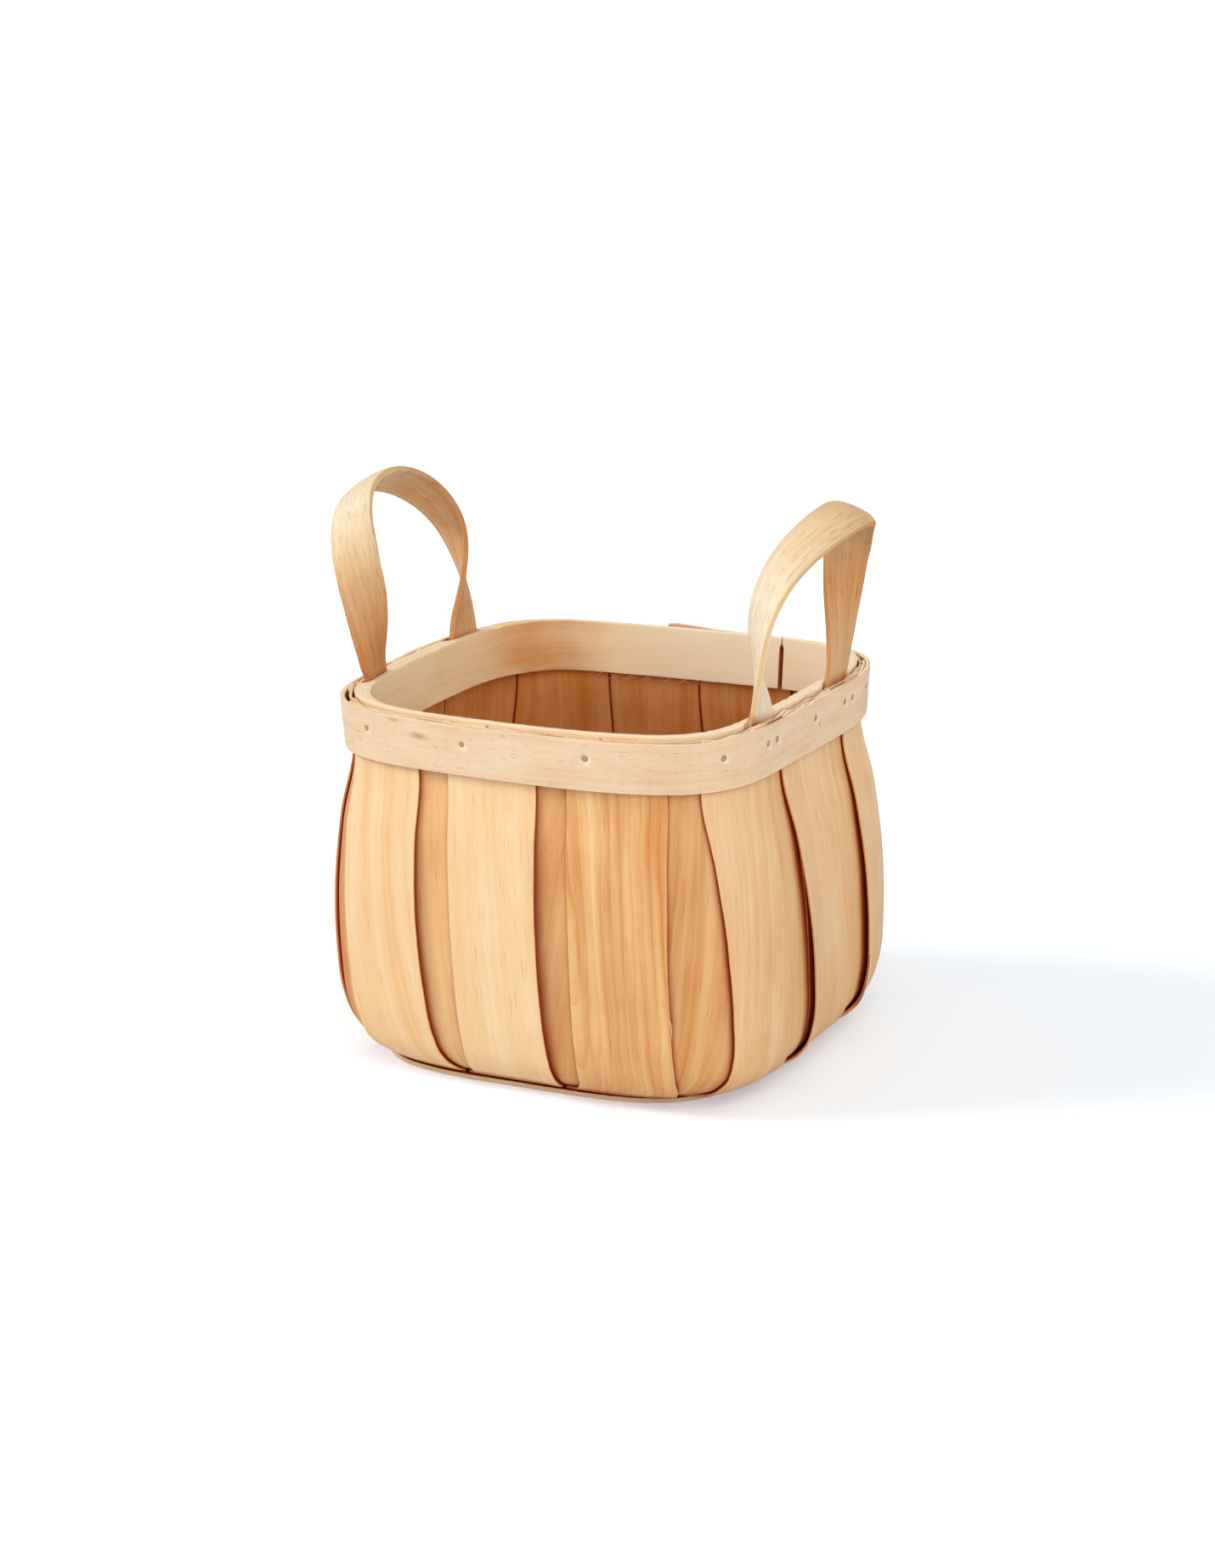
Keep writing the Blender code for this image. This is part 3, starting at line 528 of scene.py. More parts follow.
END_GRAIN = cut_wood("wood_end_grain", srgb(254, 236, 204), srgb(236, 196, 144))
# Painted shade: the inner hoop's butt ends are a deep red brown for the shade in the narrow slot between them
BUTT_PAINTED_SHADE = cut_wood("hoop_butt_end_painted_shade", srgb(214, 136, 74), srgb(176, 92, 40))
BOARD = wood("board_wood", srgb(226, 190, 138), srgb(196, 150, 98), srgb(146, 100, 58),
             bands=0.5, streak=0.5, hair=0.8, mottle=0.6, rings=0.2, rough=0.7, hair_size=(1300, 420))
# Paler than the board's faces: partly its own colour, partly painted light on an edge that faces down into shade
BOARD_CUT = cut_wood("board_cut_edge", srgb(255, 230, 186), srgb(206, 158, 106))


def tack_steel():
    g = Graph("tack_steel")
    node = g.tree.nodes.new("ShaderNodeTexCoord")
    x, y, z = g.split(node.outputs["Object"])
    stain = g.noise(x, y, z, (900, 900, 900), detail=3)
    colour = g.ramp(stain, (0.3, srgb(156, 118, 78)), (0.7, srgb(204, 168, 122)))
    radius = g.math("SQRT", g.math("ADD", g.math("MULTIPLY", x, x), g.math("MULTIPLY", y, y)))
    rim = g.math("MULTIPLY", g.math("SUBTRACT", radius, TACK_HEAD_RADIUS * 0.72), 2600.0, clamp=True)
    colour = g.mix(rim, colour, srgb(112, 72, 42))
    g.shader.inputs["Metallic"].default_value = 0.1
    return g.finish(colour, 0.5, stain, 0.00005, strength=0.4)


STEEL = tack_steel()


# Splints

# For each outer splint: how deep its colour is, how much it reddens, how strong its figure is, how far
# its heart lies to the side, how its grain slants, and how far its left and right edges lift off
OUTER_LOOKS = (
    (-0.18, 0.00, 0.2, 0.045, 0.02, 0.0002, 0.0038),
    (0.25, 0.05, 0.9, 0.022, 0.03, 0.0003, 0.0012),
    (-0.08, 0.25, 0.6, 0.004, -0.10, 0.0016, 0.0008),
    (-0.14, 0.25, 0.3, 0.030, 0.04, 0.0040, 0.0004),
    (-0.16, 0.25, 0.3, -0.040, -0.03, 0.0027, 0.0005),
    (0.10, 0.10, 0.6, 0.030, 0.05, 0.0012, 0.0014),
    (-0.10, 0.00, 0.8, 0.010, -0.04, 0.0010, 0.0014),
    (0.05, 0.10, 0.5, -0.030, 0.02, 0.0014, 0.0010),
    (-0.20, 0.00, 0.6, 0.050, 0.00, 0.0010, 0.0014),
    (0.08, 0.10, 0.9, 0.006, 0.06, 0.0012, 0.0012),
    (0.00, 0.20, 0.5, 0.030, -0.03, 0.0008, 0.0026),
    (-0.12, 0.00, 0.4, -0.050, 0.05, 0.0004, 0.0024),
)
TOP_RAGGED = 0.0026


# The same for the inner splints that show between the outer ones: depth and slant
INNER_LOOKS = {
    0: (0.26, -0.22), 1: (0.24, -0.14), 2: (0.02, -0.05), 3: (0.04, 0.05), 4: (0.06, 0.04),
    12: (0.40, 0.05), 13: (0.12, 0.05),
}


# Inner splints not listed get a deeper orange: partly their own tone, partly painted shade for the inside of the
# basket
def inner_look(index):
    depth, slant = INNER_LOOKS.get(index, (0.38 + 0.12 * wave(index * 1.7, 3.1), 0.2 * wave(index * 3.1, 0.4)))
    figure = 0.3 + 0.4 * wave(index * 2.3, 8.2)
    return (depth, 0.1, figure, 0.06 * wave(index, 5.5), slant, 0, 0)


def edge_wobble(seed, along):
    """How far a split edge strays from its line."""
    slow = wave(along * 40, seed, 0.3) * 0.0003
    quick = wave(along * 420, seed, 4.3) * 0.00012
    snag = max(wave(along * 190, seed, 9.1) - 0.4, 0) * 0.0007
    return slow + quick - snag


LOOSE_FROM = 0.004
LOOSE_TO = 0.143


def looseness(height):
    """How freely the splints stand off, from nothing at the board and the hoops to 1 in the lower belly."""
    climb = min(max((height - LOOSE_FROM) / (LOOSE_TO - LOOSE_FROM), 0), 1)
    return max(math.sin(math.pi * climb ** 0.65), 0)


def make_splint(name, node, edges, depth, look, seed):
    deepness, redness, figure, heart, slant, left_lift, right_lift = look
    nominal = edges[-1][1] - edges[-1][0]
    shares, lips = section(nominal, SPLINT_THICKNESS, 0.0018)
    left_reach = np.clip(1 - shares / 0.5, 0, 1) ** 2
    right_reach = np.clip(1 - (1 - shares) / 0.5, 0, 1) ** 2
    outer, inner, outer_grain, inner_grain = [], [], [], []
    for row, (left, right) in enumerate(edges):
        along = shell.along[row]
        height = shell.heights[row]
        loose = looseness(height)
        left += edge_wobble(seed, along) * min(loose + 0.3, 1)
        right += edge_wobble(seed + 7.7, along) * min(loose + 0.3, 1)
        places = left + (right - left) * shares
        lift = left_lift * left_reach + right_lift * right_reach
        ripple = np.array([wave(share * 2.2 + seed, along * 22, seed) for share in shares]) * 0.0002
        out = (lift + np.maximum(ripple, 0)) * loose
        outer.append(shell.face(row, places, depth + lips - out))
        inner.append(shell.face(row, places, depth + SPLINT_THICKNESS - lips - out))
        across = (shares - 0.5) * nominal + heart + slant * (along - 0.12)
        for grains, faced in ((outer_grain, lips), (inner_grain, SPLINT_THICKNESS - lips)):
            grains.append(np.stack([across, seed + faced, np.full_like(across, along - 0.12)], axis=1))
    torn = np.array([
        0.4 + 0.5 * wave(place * 110, seed, 2.7) + 0.12 * wave(place * 600, seed, 6.1)
        for place in places
    ])
    for face in (outer, inner):
        face.append(face[-1] + unit(face[-1] - face[-2]) * (TOP_RAGGED * np.clip(torn, 0.05, 1))[:, None])
    for grains in (outer_grain, inner_grain):
        grains.append(grains[-1] + np.array([0, 0, TOP_RAGGED]))
    piece = sweep(name, np.array(outer), np.array(inner), (np.array(outer_grain), np.array(inner_grain)),
                  (deepness, redness, figure), (SPLINT, SPLINT_CUT, END_GRAIN), raw_rows=1)
    return dress(piece, node)


def make_splints():
    rows = range(len(shell.heights))
    for index, edges in enumerate(zip(*[outer_edges(row) for row in rows])):
        node = f"outer_splint_{index + 1:02d}"
        make_splint(node + "_veneer", node, edges, 0, OUTER_LOOKS[index], 1.0 + index)
    inner_depth = SPLINT_THICKNESS + CLEARANCE
    for index, edges in enumerate(zip(*[inner_edges(row) for row in rows])):
        node = f"inner_splint_{index + 1:02d}"
        make_splint(node + "_veneer", node, edges, inner_depth, inner_look(index), 31.0 + index)


# Tacks

def tack_axis(node):
    """A tack's apex and the way it points, from the two points of its solid that are furthest apart."""
    points = np.array([vertex.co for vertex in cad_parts[node].data.vertices])
    gaps = np.linalg.norm(points[:, None] - points[None], axis=2)
    first, second = np.unravel_index(int(np.argmax(gaps)), gaps.shape)
    ends = sorted((points[first], points[second]), key=lambda end: -end[2] if node.startswith("base") else
                  np.hypot(end[0], end[1]))
    tip, apex = (Vector(end) for end in ends)
    return apex, (apex - tip).normalized(), (apex - tip).length


def make_tack(node, seed):
    apex, outward, length = tack_axis(node)
    radius = TACK_HEAD_RADIUS
    profile = [
        (0, 0), (radius * 0.45, -0.00004), (radius * 0.8, -0.00014), (radius * 0.96, -0.0003),
        (radius, -0.00045), (radius * 0.9, -TACK_HEAD_THICKNESS - 0.0002),
        (TACK_SHANK_RADIUS, -TACK_HEAD_THICKNESS - 0.0003), (TACK_SHANK_RADIUS * 0.9, 0.0008 - length), (0, -length),
    ]
    sides = 24
    vertices, faces = [(0, 0, 0)], []
    for ring_radius, height in profile[1:-1]:
        for side in range(sides):
            angle = 2 * math.pi * side / sides
            uneven = 1 + 0.05 * wave(math.cos(angle) + seed, math.sin(angle), seed)
            vertices.append((ring_radius * uneven * math.cos(angle), ring_radius * uneven * math.sin(angle), height))
    vertices.append((0, 0, -length))
    for side in range(sides):
        after = (side + 1) % sides
        faces.append((0, 1 + side, 1 + after))
        for row in range(len(profile) - 3):
            here, there = 1 + row * sides, 1 + (row + 1) * sides
            faces.append((here + side, there + side, there + after, here + after))
        last = 1 + (len(profile) - 3) * sides
        faces.append((last + side, len(vertices) - 1, last + after))
    mesh = bpy.data.meshes.new(node + "_steel")
    mesh.from_pydata(vertices, [], faces)
    mesh.materials.append(STEEL)
    mesh.shade_smooth()
    mesh.set_sharp_from_angle(angle=math.radians(50))
    piece = bpy.data.objects.new(node + "_steel", mesh)
    bpy.context.scene.collection.objects.link(piece)
    tilt = Matrix.Rotation(math.radians(5) * wave(seed, 2.2), 4, "X")
    piece.matrix_world = Matrix.Translation(apex) @ outward.to_track_quat("Z", "Y").to_matrix().to_4x4() @ tilt
    dress(piece, node)
    return apex


rim_tacks = [make_tack(node, 1.3 * count) for count, node in enumerate(sorted(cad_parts)) if node.startswith("rim_tack")]
for count, node in enumerate(sorted(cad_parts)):
    if node.startswith("base_tack"):
        make_tack(node, 2.1 * count)


# Hoops

def stand_off(shares):
    """How far the inner hoop stands off the splints: a handle's thickness at the sides, none in front."""
    x = shell.rim(shares, np.full_like(shares, shell.low[0, 2]), np.zeros_like(shares))[:, 0]
    spread = smoothstep((np.abs(x) / shell.rim_half - PINCHED_SHARE) / (SPREAD_SHARE - PINCHED_SHARE))
    return spread * (HANDLE_THICKNESS + CLEARANCE + np.where(x < 0, LEFT_SLACK, 0))


def splints_depth():
    return 2 * (SPLINT_THICKNESS + CLEARANCE)


def lap_offset(shares):
    rise = smoothstep((shares - (1 + LAP_START_SHARE - LAP_RAMP_SHARE)) / (LAP_RAMP_SHARE - LAP_LEAD_SHARE))
    return rise * (OUTER_HOOP_THICKNESS + CLEARANCE)


def dents_at(points, depth, reach):
    """How deep each point of a hoop's face is dented by the tacks near it, and how pale its colour is beside and
    below each tack.
    """
    dent = np.zeros(points.shape[:-1])
    face_marks = np.zeros(points.shape[:-1])
    for apex in rim_tacks:
        offset = points - np.array(apex)
        dent += depth * np.exp(-(np.linalg.norm(offset, axis=-1) / reach) ** 2)
        side = np.array([-apex.y, apex.x, 0]) / math.hypot(apex.x, apex.y)
        beside = offset - side * 0.0012 + np.array([0, 0, 0.0014])
        face_marks += np.exp(-(np.linalg.norm(beside, axis=-1) / 0.0016) ** 2)
    return dent, face_marks


# Small brown marks near the outer hoop's top edge: share of the rim, height, half length and half height
HOOP_STAINS = (
    (0.9240, 0.1625, 0.0030, 0.0003), (0.0010, 0.1622, 0.0012, 0.0004), (0.2530, 0.1530, 0.0012, 0.0008),
    (0.9420, 0.1572, 0.0040, 0.0012), (0.9560, 0.1620, 0.0060, 0.0003), (0.0900, 0.1618, 0.0045, 0.0003),
)


def stains_at(shares, heights):
    """How stained each place of the outer hoop is."""
    stain = np.zeros(heights.shape)
    for share, height, half_length, half_height in HOOP_STAINS:
        along = ((shares - share + 0.5) % 1 - 0.5) * shell.rim_perimeter / half_length
        upward = (heights - height) / half_height
        stain += np.exp(-along**2 - upward**2)
    return stain


def top_stray(distance, seed):
    """How a hoop's top edge rises, falls and is chipped."""
    waver = wave(distance * 22, seed, 0.7) * 0.0005 + wave(distance * 260, seed, 1.9) * 0.00015
    chip = max(wave(distance * 95, seed, 3.3) - 0.42, 0) * 0.0022
    return waver - chip


def foot_stray(distance, seed):
    return wave(distance * 25, seed, 5.7) * 0.0003 + wave(distance * 300, seed, 6.9) * 0.00012


def make_hoop(name, node, shares, sizes, outer_depths, inner_depths, seed, look, slots, dented=False,
              end_shift=None, top_rise=0):
    top, band_height, thickness = sizes
    across, lips = section(band_height, thickness, 0.0012)
    along = shares * shell.rim_perimeter
    strays = np.array([(top_stray(distance, seed), foot_stray(distance, seed)) for distance in along])
    strays[:, 0] += top_rise
    heights = top - band_height * (1 - across)[None] \
        + strays[:, :1] * across[None] ** 3 + strays[:, 1:] * (1 - across)[None] ** 3
    flat = np.repeat(shares[:, None], len(across), axis=1)
    if end_shift is not None:
        flat[0] -= end_shift * smoothstep((across - 0.80) / 0.1)
        flat[-1] += end_shift * smoothstep((across - 0.80) / 0.1)

    def place(face_depths):
        points = shell.rim(flat.reshape(-1), heights.reshape(-1), face_depths.reshape(-1))
        return points.reshape(len(shares), len(across), 3)

    depths = outer_depths[:, None] + lips[None]
    outer = place(depths)
    face_marks = None
    if dented:
        dent, face_marks = dents_at(outer, 0.0006, 0.0022)
        outer = place(depths + dent)
        face_marks = (face_marks - 0.8 * stains_at(flat, heights))[:, ::-1]
    inner = place(inner_depths[:, None] - lips[None])
    grains = []
    for faced in (lips, thickness - lips):
        grain = np.empty((len(shares), len(across), 3))
        grain[..., 0] = (across * band_height)[None] + look[1]
        grain[..., 1] = seed + faced[None]
        grain[..., 2] = along[:, None]
        grains.append(grain[:, ::-1])
    piece = sweep(name, outer[:, ::-1], inner[:, ::-1], grains, look[0], slots, face_marks)
    return dress(piece, node)


LOOSE_END_SHARE = 0.045
LOOSE_END_RISE = 0.0017
SWELLING_SHARE = 0.148
SWELLING_REACH = 0.014
SWELLING_RISE = 0.0011


def make_outer_hoop():
    last = 1 + LAP_START_SHARE + LAP_LENGTH_SHARE
    shares = np.linspace(LAP_START_SHARE, last, round((last - LAP_START_SHARE) * shell.rim_perimeter / HOOP_STEP))
    depths = -(CLEARANCE + OUTER_HOOP_THICKNESS + lap_offset(shares))
    sizes = (OUTER_HOOP_TOP, OUTER_HOOP_HEIGHT, OUTER_HOOP_THICKNESS)
    loose_end = smoothstep((shares - last + LOOSE_END_SHARE) / LOOSE_END_SHARE)
    swollen = np.exp(-((shares % 1 - SWELLING_SHARE) / SWELLING_REACH) ** 2)
    rise = LOOSE_END_RISE * loose_end + SWELLING_RISE * swollen
    hoop_tones = np.tile((-0.03, 0.12, 0.6), (len(shares), 1))
    hoop_tones[:, 0] += 0.1 * loose_end
    make_hoop("outer_hoop_band", "outer_hoop", shares, sizes, depths, depths + OUTER_HOOP_THICKNESS,
              71.0, (hoop_tones, 0.02), (HOOP, HOOP_CUT, END_GRAIN), dented=True, top_rise=rise)


BUTT_OPENING = 0.0023


def packing(shares):
    """How much of the space outside the inner hoop its doubled veneer fills: none where a handle is tucked."""
    share = np.ones_like(shares)
    for shape in (LEFT_HANDLE, RIGHT_HANDLE):
        for end in (-1, 1):
            foot = shell.rim_share(shape["middle"] + end * shape["half_foot"], shape["side"])
            away = np.abs((shares - foot + 0.5) % 1 - 0.5) * shell.rim_perimeter
            share *= smoothstep((away - HANDLE_WIDTH * 0.56) / 0.006)
    return share * 0.8


# How deep the inner hoop's colour is at shares of the rim, from its butt in the back and round: painted light and
# shade, paler at the back and deepest in the back-left corner that the left wall shades
INNER_HOOP_PAINTED_LIGHT_AND_SHADE = (
    (0.44, -0.5), (0.50, -0.4), (0.54, -0.2), (0.57, 0.1), (0.60, 0.35), (0.625, 0.45), (0.65, 0.35),
    (0.68, 0.15), (0.72, 0.05), (0.80, 0.0), (0.90, -0.1), (1.44, -0.3),
)


def make_inner_hoop():
    half_gap = BUTT_OPENING / 2 / shell.rim_perimeter
    shares = np.linspace(BUTT_SHARE + half_gap, 1 + BUTT_SHARE - half_gap, round(shell.rim_perimeter / HOOP_STEP))
    room = stand_off(shares)
    hoop_tones = np.zeros((len(shares), 3))
    # Painted light and shade: the inner hoop's colour is paler at the back and deeper in the back-left corner
    hoop_tones[:, 0] = np.interp(shares, *zip(*INNER_HOOP_PAINTED_LIGHT_AND_SHADE))
    sizes = (INNER_HOOP_TOP, INNER_HOOP_HEIGHT, INNER_HOOP_THICKNESS)
    make_hoop("inner_hoop_band", "inner_hoop", shares, sizes, splints_depth() + room * (1 - packing(shares)),
              splints_depth() + room + INNER_HOOP_THICKNESS, 83.0, (hoop_tones, -0.03),
              (INNER_HOOP, HOOP_CUT, BUTT_PAINTED_SHADE), end_shift=half_gap * 0.8)


# Handles

def handle_arch(shape, half_foot):
    """The front half of a handle's middle line over the rim, as heights and half spans."""
    points = []
    for step in range(HANDLE_STEPS // 2):
        height = shape["wide_at"] * 2 * step / HANDLE_STEPS
        fall = 1 - height / shape["wide_at"]
        points.append((height, shape["half_wide"] - (shape["half_wide"] - half_foot) * fall * fall))
    for step in range(HANDLE_STEPS + 1):
        angle = math.pi / 2 * step / HANDLE_STEPS
        across = math.cos(angle) ** (2 / shape["roundness"]) if step < HANDLE_STEPS else 0
        upward = math.sin(angle) ** (2 / shape["roundness"])
        points.append((shape["wide_at"] + (shape["rise"] - shape["wide_at"]) * upward, shape["half_wide"] * across))
    return points


def foot_row(share, height, slack):
    reach = HANDLE_WIDTH / 2 / shell.rim_perimeter
    shares = np.array([share - reach, share, share + reach])
    depths = np.full(3, splints_depth() + slack + HANDLE_THICKNESS / 2)
    return [Vector(point) for point in shell.rim(shares, np.full(3, height), depths)]


def handle_rows(shape):
    """Edge, middle and edge points along a handle, from one tucked end over the arch to the other."""
    side = shape["side"]
    feet = []
    for end in (-1, 1):
        share = shell.rim_share(shape["middle"] + end * shape["half_foot"], side)
        low = foot_row(share, OUTER_HOOP_TOP - HANDLE_TUCK, shape["slack"])
        feet.append((low, foot_row(share, INNER_HOOP_TOP, shape["slack"])))
    (front_low, front_high), (rear_low, rear_high) = feet
    front, rear = front_high[1], rear_high[1]
    slope = (front.x - front_low[1].x) / (front.z - front_low[1].z)
    middle_y = (front.y + rear.y) / 2
    half_foot = (rear.y - front.y) / 2

    def on_sheet(height, across):
        rise = height / shape["rise"]
        base = front.lerp(rear, (across + half_foot) / (2 * half_foot))
        lean = side * shape["lean"]
        fade = max(1 - rise, 0)
        x = base.x + slope * height * fade ** STRAIGHTEN_POWER + lean * rise ** shape["lean_power"]
        steepness = slope * fade ** (STRAIGHTEN_POWER - 1) * (fade - STRAIGHTEN_POWER * rise)
        steepness += lean * shape["lean_power"] * rise ** (shape["lean_power"] - 1) / shape["rise"]
        return Vector((x, middle_y + across, INNER_HOOP_TOP + height)), Vector((1, 0, -steepness))

    half = handle_arch(shape, half_foot)
    spans = [(height, -across) for height, across in half]
    spans += [(height, across) for height, across in reversed(half[:-1])]
    sheet = [on_sheet(height, across) for height, across in spans]
    alongs = [
        (sheet[min(index + 1, len(sheet) - 1)][0] - sheet[max(index - 1, 0)][0]).normalized()
        for index in range(len(sheet))
    ]
    squares = [(square - along * square.dot(along)).normalized() for (_, square), along in zip(sheet, alongs)]

    def full_turn(index, high):
        across = (high[2] - high[0]).normalized()
        turn = math.atan2(alongs[index].cross(squares[index]).dot(across), squares[index].dot(across))
        return turn if turn * side < 0 else turn + side * -math.pi

    turns = (full_turn(0, front_high), full_turn(-1, rear_high))
    rows = []
    for index, ((point, _), along, square) in enumerate(zip(sheet, alongs, squares)):
        leg = 0 if 2 * index < len(sheet) else 1
        climb = (point.z - INNER_HOOP_TOP) / shape["rise"]
        untwisted = float(smoothstep(climb)) ** shape["twist_power"][leg]
        turn = turns[leg] * (1 - untwisted) + math.radians(shape["crest_turn"]) * untwisted
        reach = (square * math.cos(turn) + along.cross(square) * math.sin(turn)) * HANDLE_WIDTH / 2
        rows.append([point - reach, point, point + reach])

    def facing(row, neighbour):
        return row if (row[2] - row[0]).dot(neighbour[2] - neighbour[0]) > 0 else row[::-1]

    return [facing(front_low, rows[0]), facing(front_high, rows[0]), *rows[1:-1],
            facing(rear_high, rows[-1]), facing(rear_low, rows[-1])]


def smooth_path(rows, step):
    """The rows again at even steps, on a smooth curve through them."""
    rows = np.array([[tuple(point) for point in row] for row in rows])
    middle = rows[:, 1]
    chords = np.linalg.norm(np.diff(middle, axis=0), axis=1)
    along = np.concatenate([[0], np.cumsum(chords)])
    slopes = np.diff(rows, axis=0) / chords[:, None, None]
    tangents = np.empty_like(rows)
    weights = (chords[:-1] + chords[1:])[:, None, None]
    tangents[1:-1] = (slopes[:-1] * chords[1:, None, None] + slopes[1:] * chords[:-1, None, None]) / weights
    tangents[0], tangents[-1] = slopes[0], slopes[-1]
    steps = np.linspace(0, along[-1], round(along[-1] / step) + 1)
    index = np.clip(np.searchsorted(along, steps, side="right") - 1, 0, len(chords) - 1)
    length = chords[index][:, None, None]
    t = ((steps - along[index]) / chords[index])[:, None, None]
    curve = (2 * t**3 - 3 * t**2 + 1) * rows[index] + (t**3 - 2 * t**2 + t) * length * tangents[index] \
        + (3 * t**2 - 2 * t**3) * rows[index + 1] + (t**3 - t**2) * length * tangents[index + 1]
    return steps, curve


STRAP_THICKNESS = 0.0027
STRAP_CUP = 0.0011


def make_handle(name, shape, depths, look, seed):
    """A strap bent over the rim. Its colour's depth runs through the given values from its near to its far end."""
    along, rows = smooth_path(handle_rows(shape), HANDLE_STEP)
    tones = np.empty((len(rows), 3))
    tones[:, 0] = np.interp(along / along[-1], np.linspace(0, 1, len(depths)), depths)
    tones[:, 1:] = look[:2]
    shares, lips = section(HANDLE_WIDTH, STRAP_THICKNESS, 0.0012)
    travel = unit(np.gradient(rows[:, 1], axis=0))
    outer, inner, grains = [], [], ([], [])
    crest = smoothstep((rows[:, 1, 2] - INNER_HOOP_TOP) / shape["rise"] * 1.6 - 0.6)
    inward = rows[:, 1].mean(axis=0) - rows[:, 1]
    for row, (first, middle, last) in enumerate(rows):
        normal = unit(np.cross(travel[row], last - first))
        droop = normal * math.copysign(shape["droop"] * crest[row], normal @ inward[row])
        left = wave(along[row] * 70, seed, 1) * 0.00025
        right = wave(along[row] * 70, seed, 5) * 0.00025
        u = shares[:, None]
        points = first * (1 - u) * (1 - 2 * u) + middle * 4 * u * (1 - u) + last * u * (2 * u - 1)
        across = unit(last - first)
        points = points + across * (left * (1 - u) ** 4 + right * u**4)
        points = points + droop * np.abs(2 * u - 1) ** 5
        outward = -float(normal @ unit(inward[row]))
        points = points + normal * outward * STRAP_CUP * (1 - (2 * u - 1) ** 2)
        half = (STRAP_THICKNESS / 2 - lips)[:, None]
        ripple = np.array([wave(share * 3, along[row] * 45, seed) for share in shares])[:, None] * 0.00012
        outer.append(points + normal * (half + ripple))
        inner.append(points - normal * (half - ripple))
        for grain, faced in zip(grains, (lips, STRAP_THICKNESS - lips)):
            grain.append(np.stack([(shares - 0.5) * HANDLE_WIDTH + look[2], seed + faced,
                                   np.full_like(shares, along[row])], axis=1))
    piece = sweep(name + "_strap", np.array(outer), np.array(inner), [np.array(grain) for grain in grains],
                  tones, (HANDLE, HANDLE_CUT, END_GRAIN))
    return dress(piece, name)


# Boards

BOARD_PROUD = 0.0014


def make_board(name, half, bottom, seed, look):
    """A thin board: rings drawn in from its worn outline, closed by a middle, on both faces."""
    outline = ring(half, 0, BASE_SQUARENESS)[::4, :2]
    count = len(outline)
    turn = np.arange(count) / count * 2 * math.pi
    chip = np.array([
        wave(math.cos(angle) * 9, math.sin(angle) * 9, seed) * 0.0003
        - max(wave(math.cos(angle) * 40, math.sin(angle) * 40, seed) - 0.3, 0) * 0.0012
        for angle in turn
    ])
    rounding = BOARD_THICKNESS * 0.18
    sizes = [(0.0, 0.0), (0.35, 0.0), (0.7, 0.0), (0.9, 0.0), (0.985, 0.0)]
    lips = [(0.0003, 0.00003), (0.00012, 0.00012), (0.0, rounding)]

    def ring_points(share, lip, height):
        reach = np.linalg.norm(outline, axis=1)
        direction = outline / reach[:, None]
        size = reach * share - lip + chip * (share > 0.95)
        return np.column_stack([direction * size[:, None], np.full(count, height)])

    top, low = bottom + BOARD_THICKNESS, bottom
    rings = [ring_points(share, 0, top) for share, _ in sizes[1:]]
    rings += [ring_points(1, lip, top - drop) for lip, drop in lips]
    rings += [ring_points(1, lip, low + drop) for lip, drop in reversed(lips)]
    rings += [ring_points(share, 0, low) for share, _ in reversed(sizes[1:])]
    vertices = [(0, 0, top), *np.concatenate(rings).tolist(), (0, 0, low)]
    faces, cut = [], []
    first_cut, last_cut = len(sizes) - 1, len(sizes) + 2 * len(lips) - 3
    for side in range(count):
        after = (side + 1) % count
        faces.append((0, 1 + side, 1 + after))
        cut.append(0)
        for row in range(len(rings) - 1):
            here, there = 1 + row * count, 1 + (row + 1) * count
            faces.append((here + side, there + side, there + after, here + after))
            cut.append(int(first_cut <= row <= last_cut))
        last = 1 + (len(rings) - 1) * count
        faces.append((last + side, len(vertices) - 1, last + after))
        cut.append(0)
    mesh = bpy.data.meshes.new(name + "_panel")
    mesh.from_pydata(vertices, [], faces)
    mesh.polygons.foreach_set("material_index", cut)
    places = np.array(vertices)
    grain = np.column_stack([places[:, 1] + 0.03, seed + places[:, 2], places[:, 0]])
    mark(mesh, "grain", grain)
    mark(mesh, "tone", np.tile(look, (len(places), 1)))
    mark(mesh, "dent", np.zeros(len(places)))
    mesh.shade_smooth()
    mesh.set_sharp_from_angle(angle=math.radians(50))
    piece = bpy.data.objects.new(name + "_panel", mesh)
    bpy.context.scene.collection.objects.link(piece)
    mesh.materials.append(BOARD)
    mesh.materials.append(BOARD_CUT)
    return dress(piece, name)


# Loose fibres

FIBRE_RADIUS = 0.0002
SLIVER_RADIUS = 0.00045


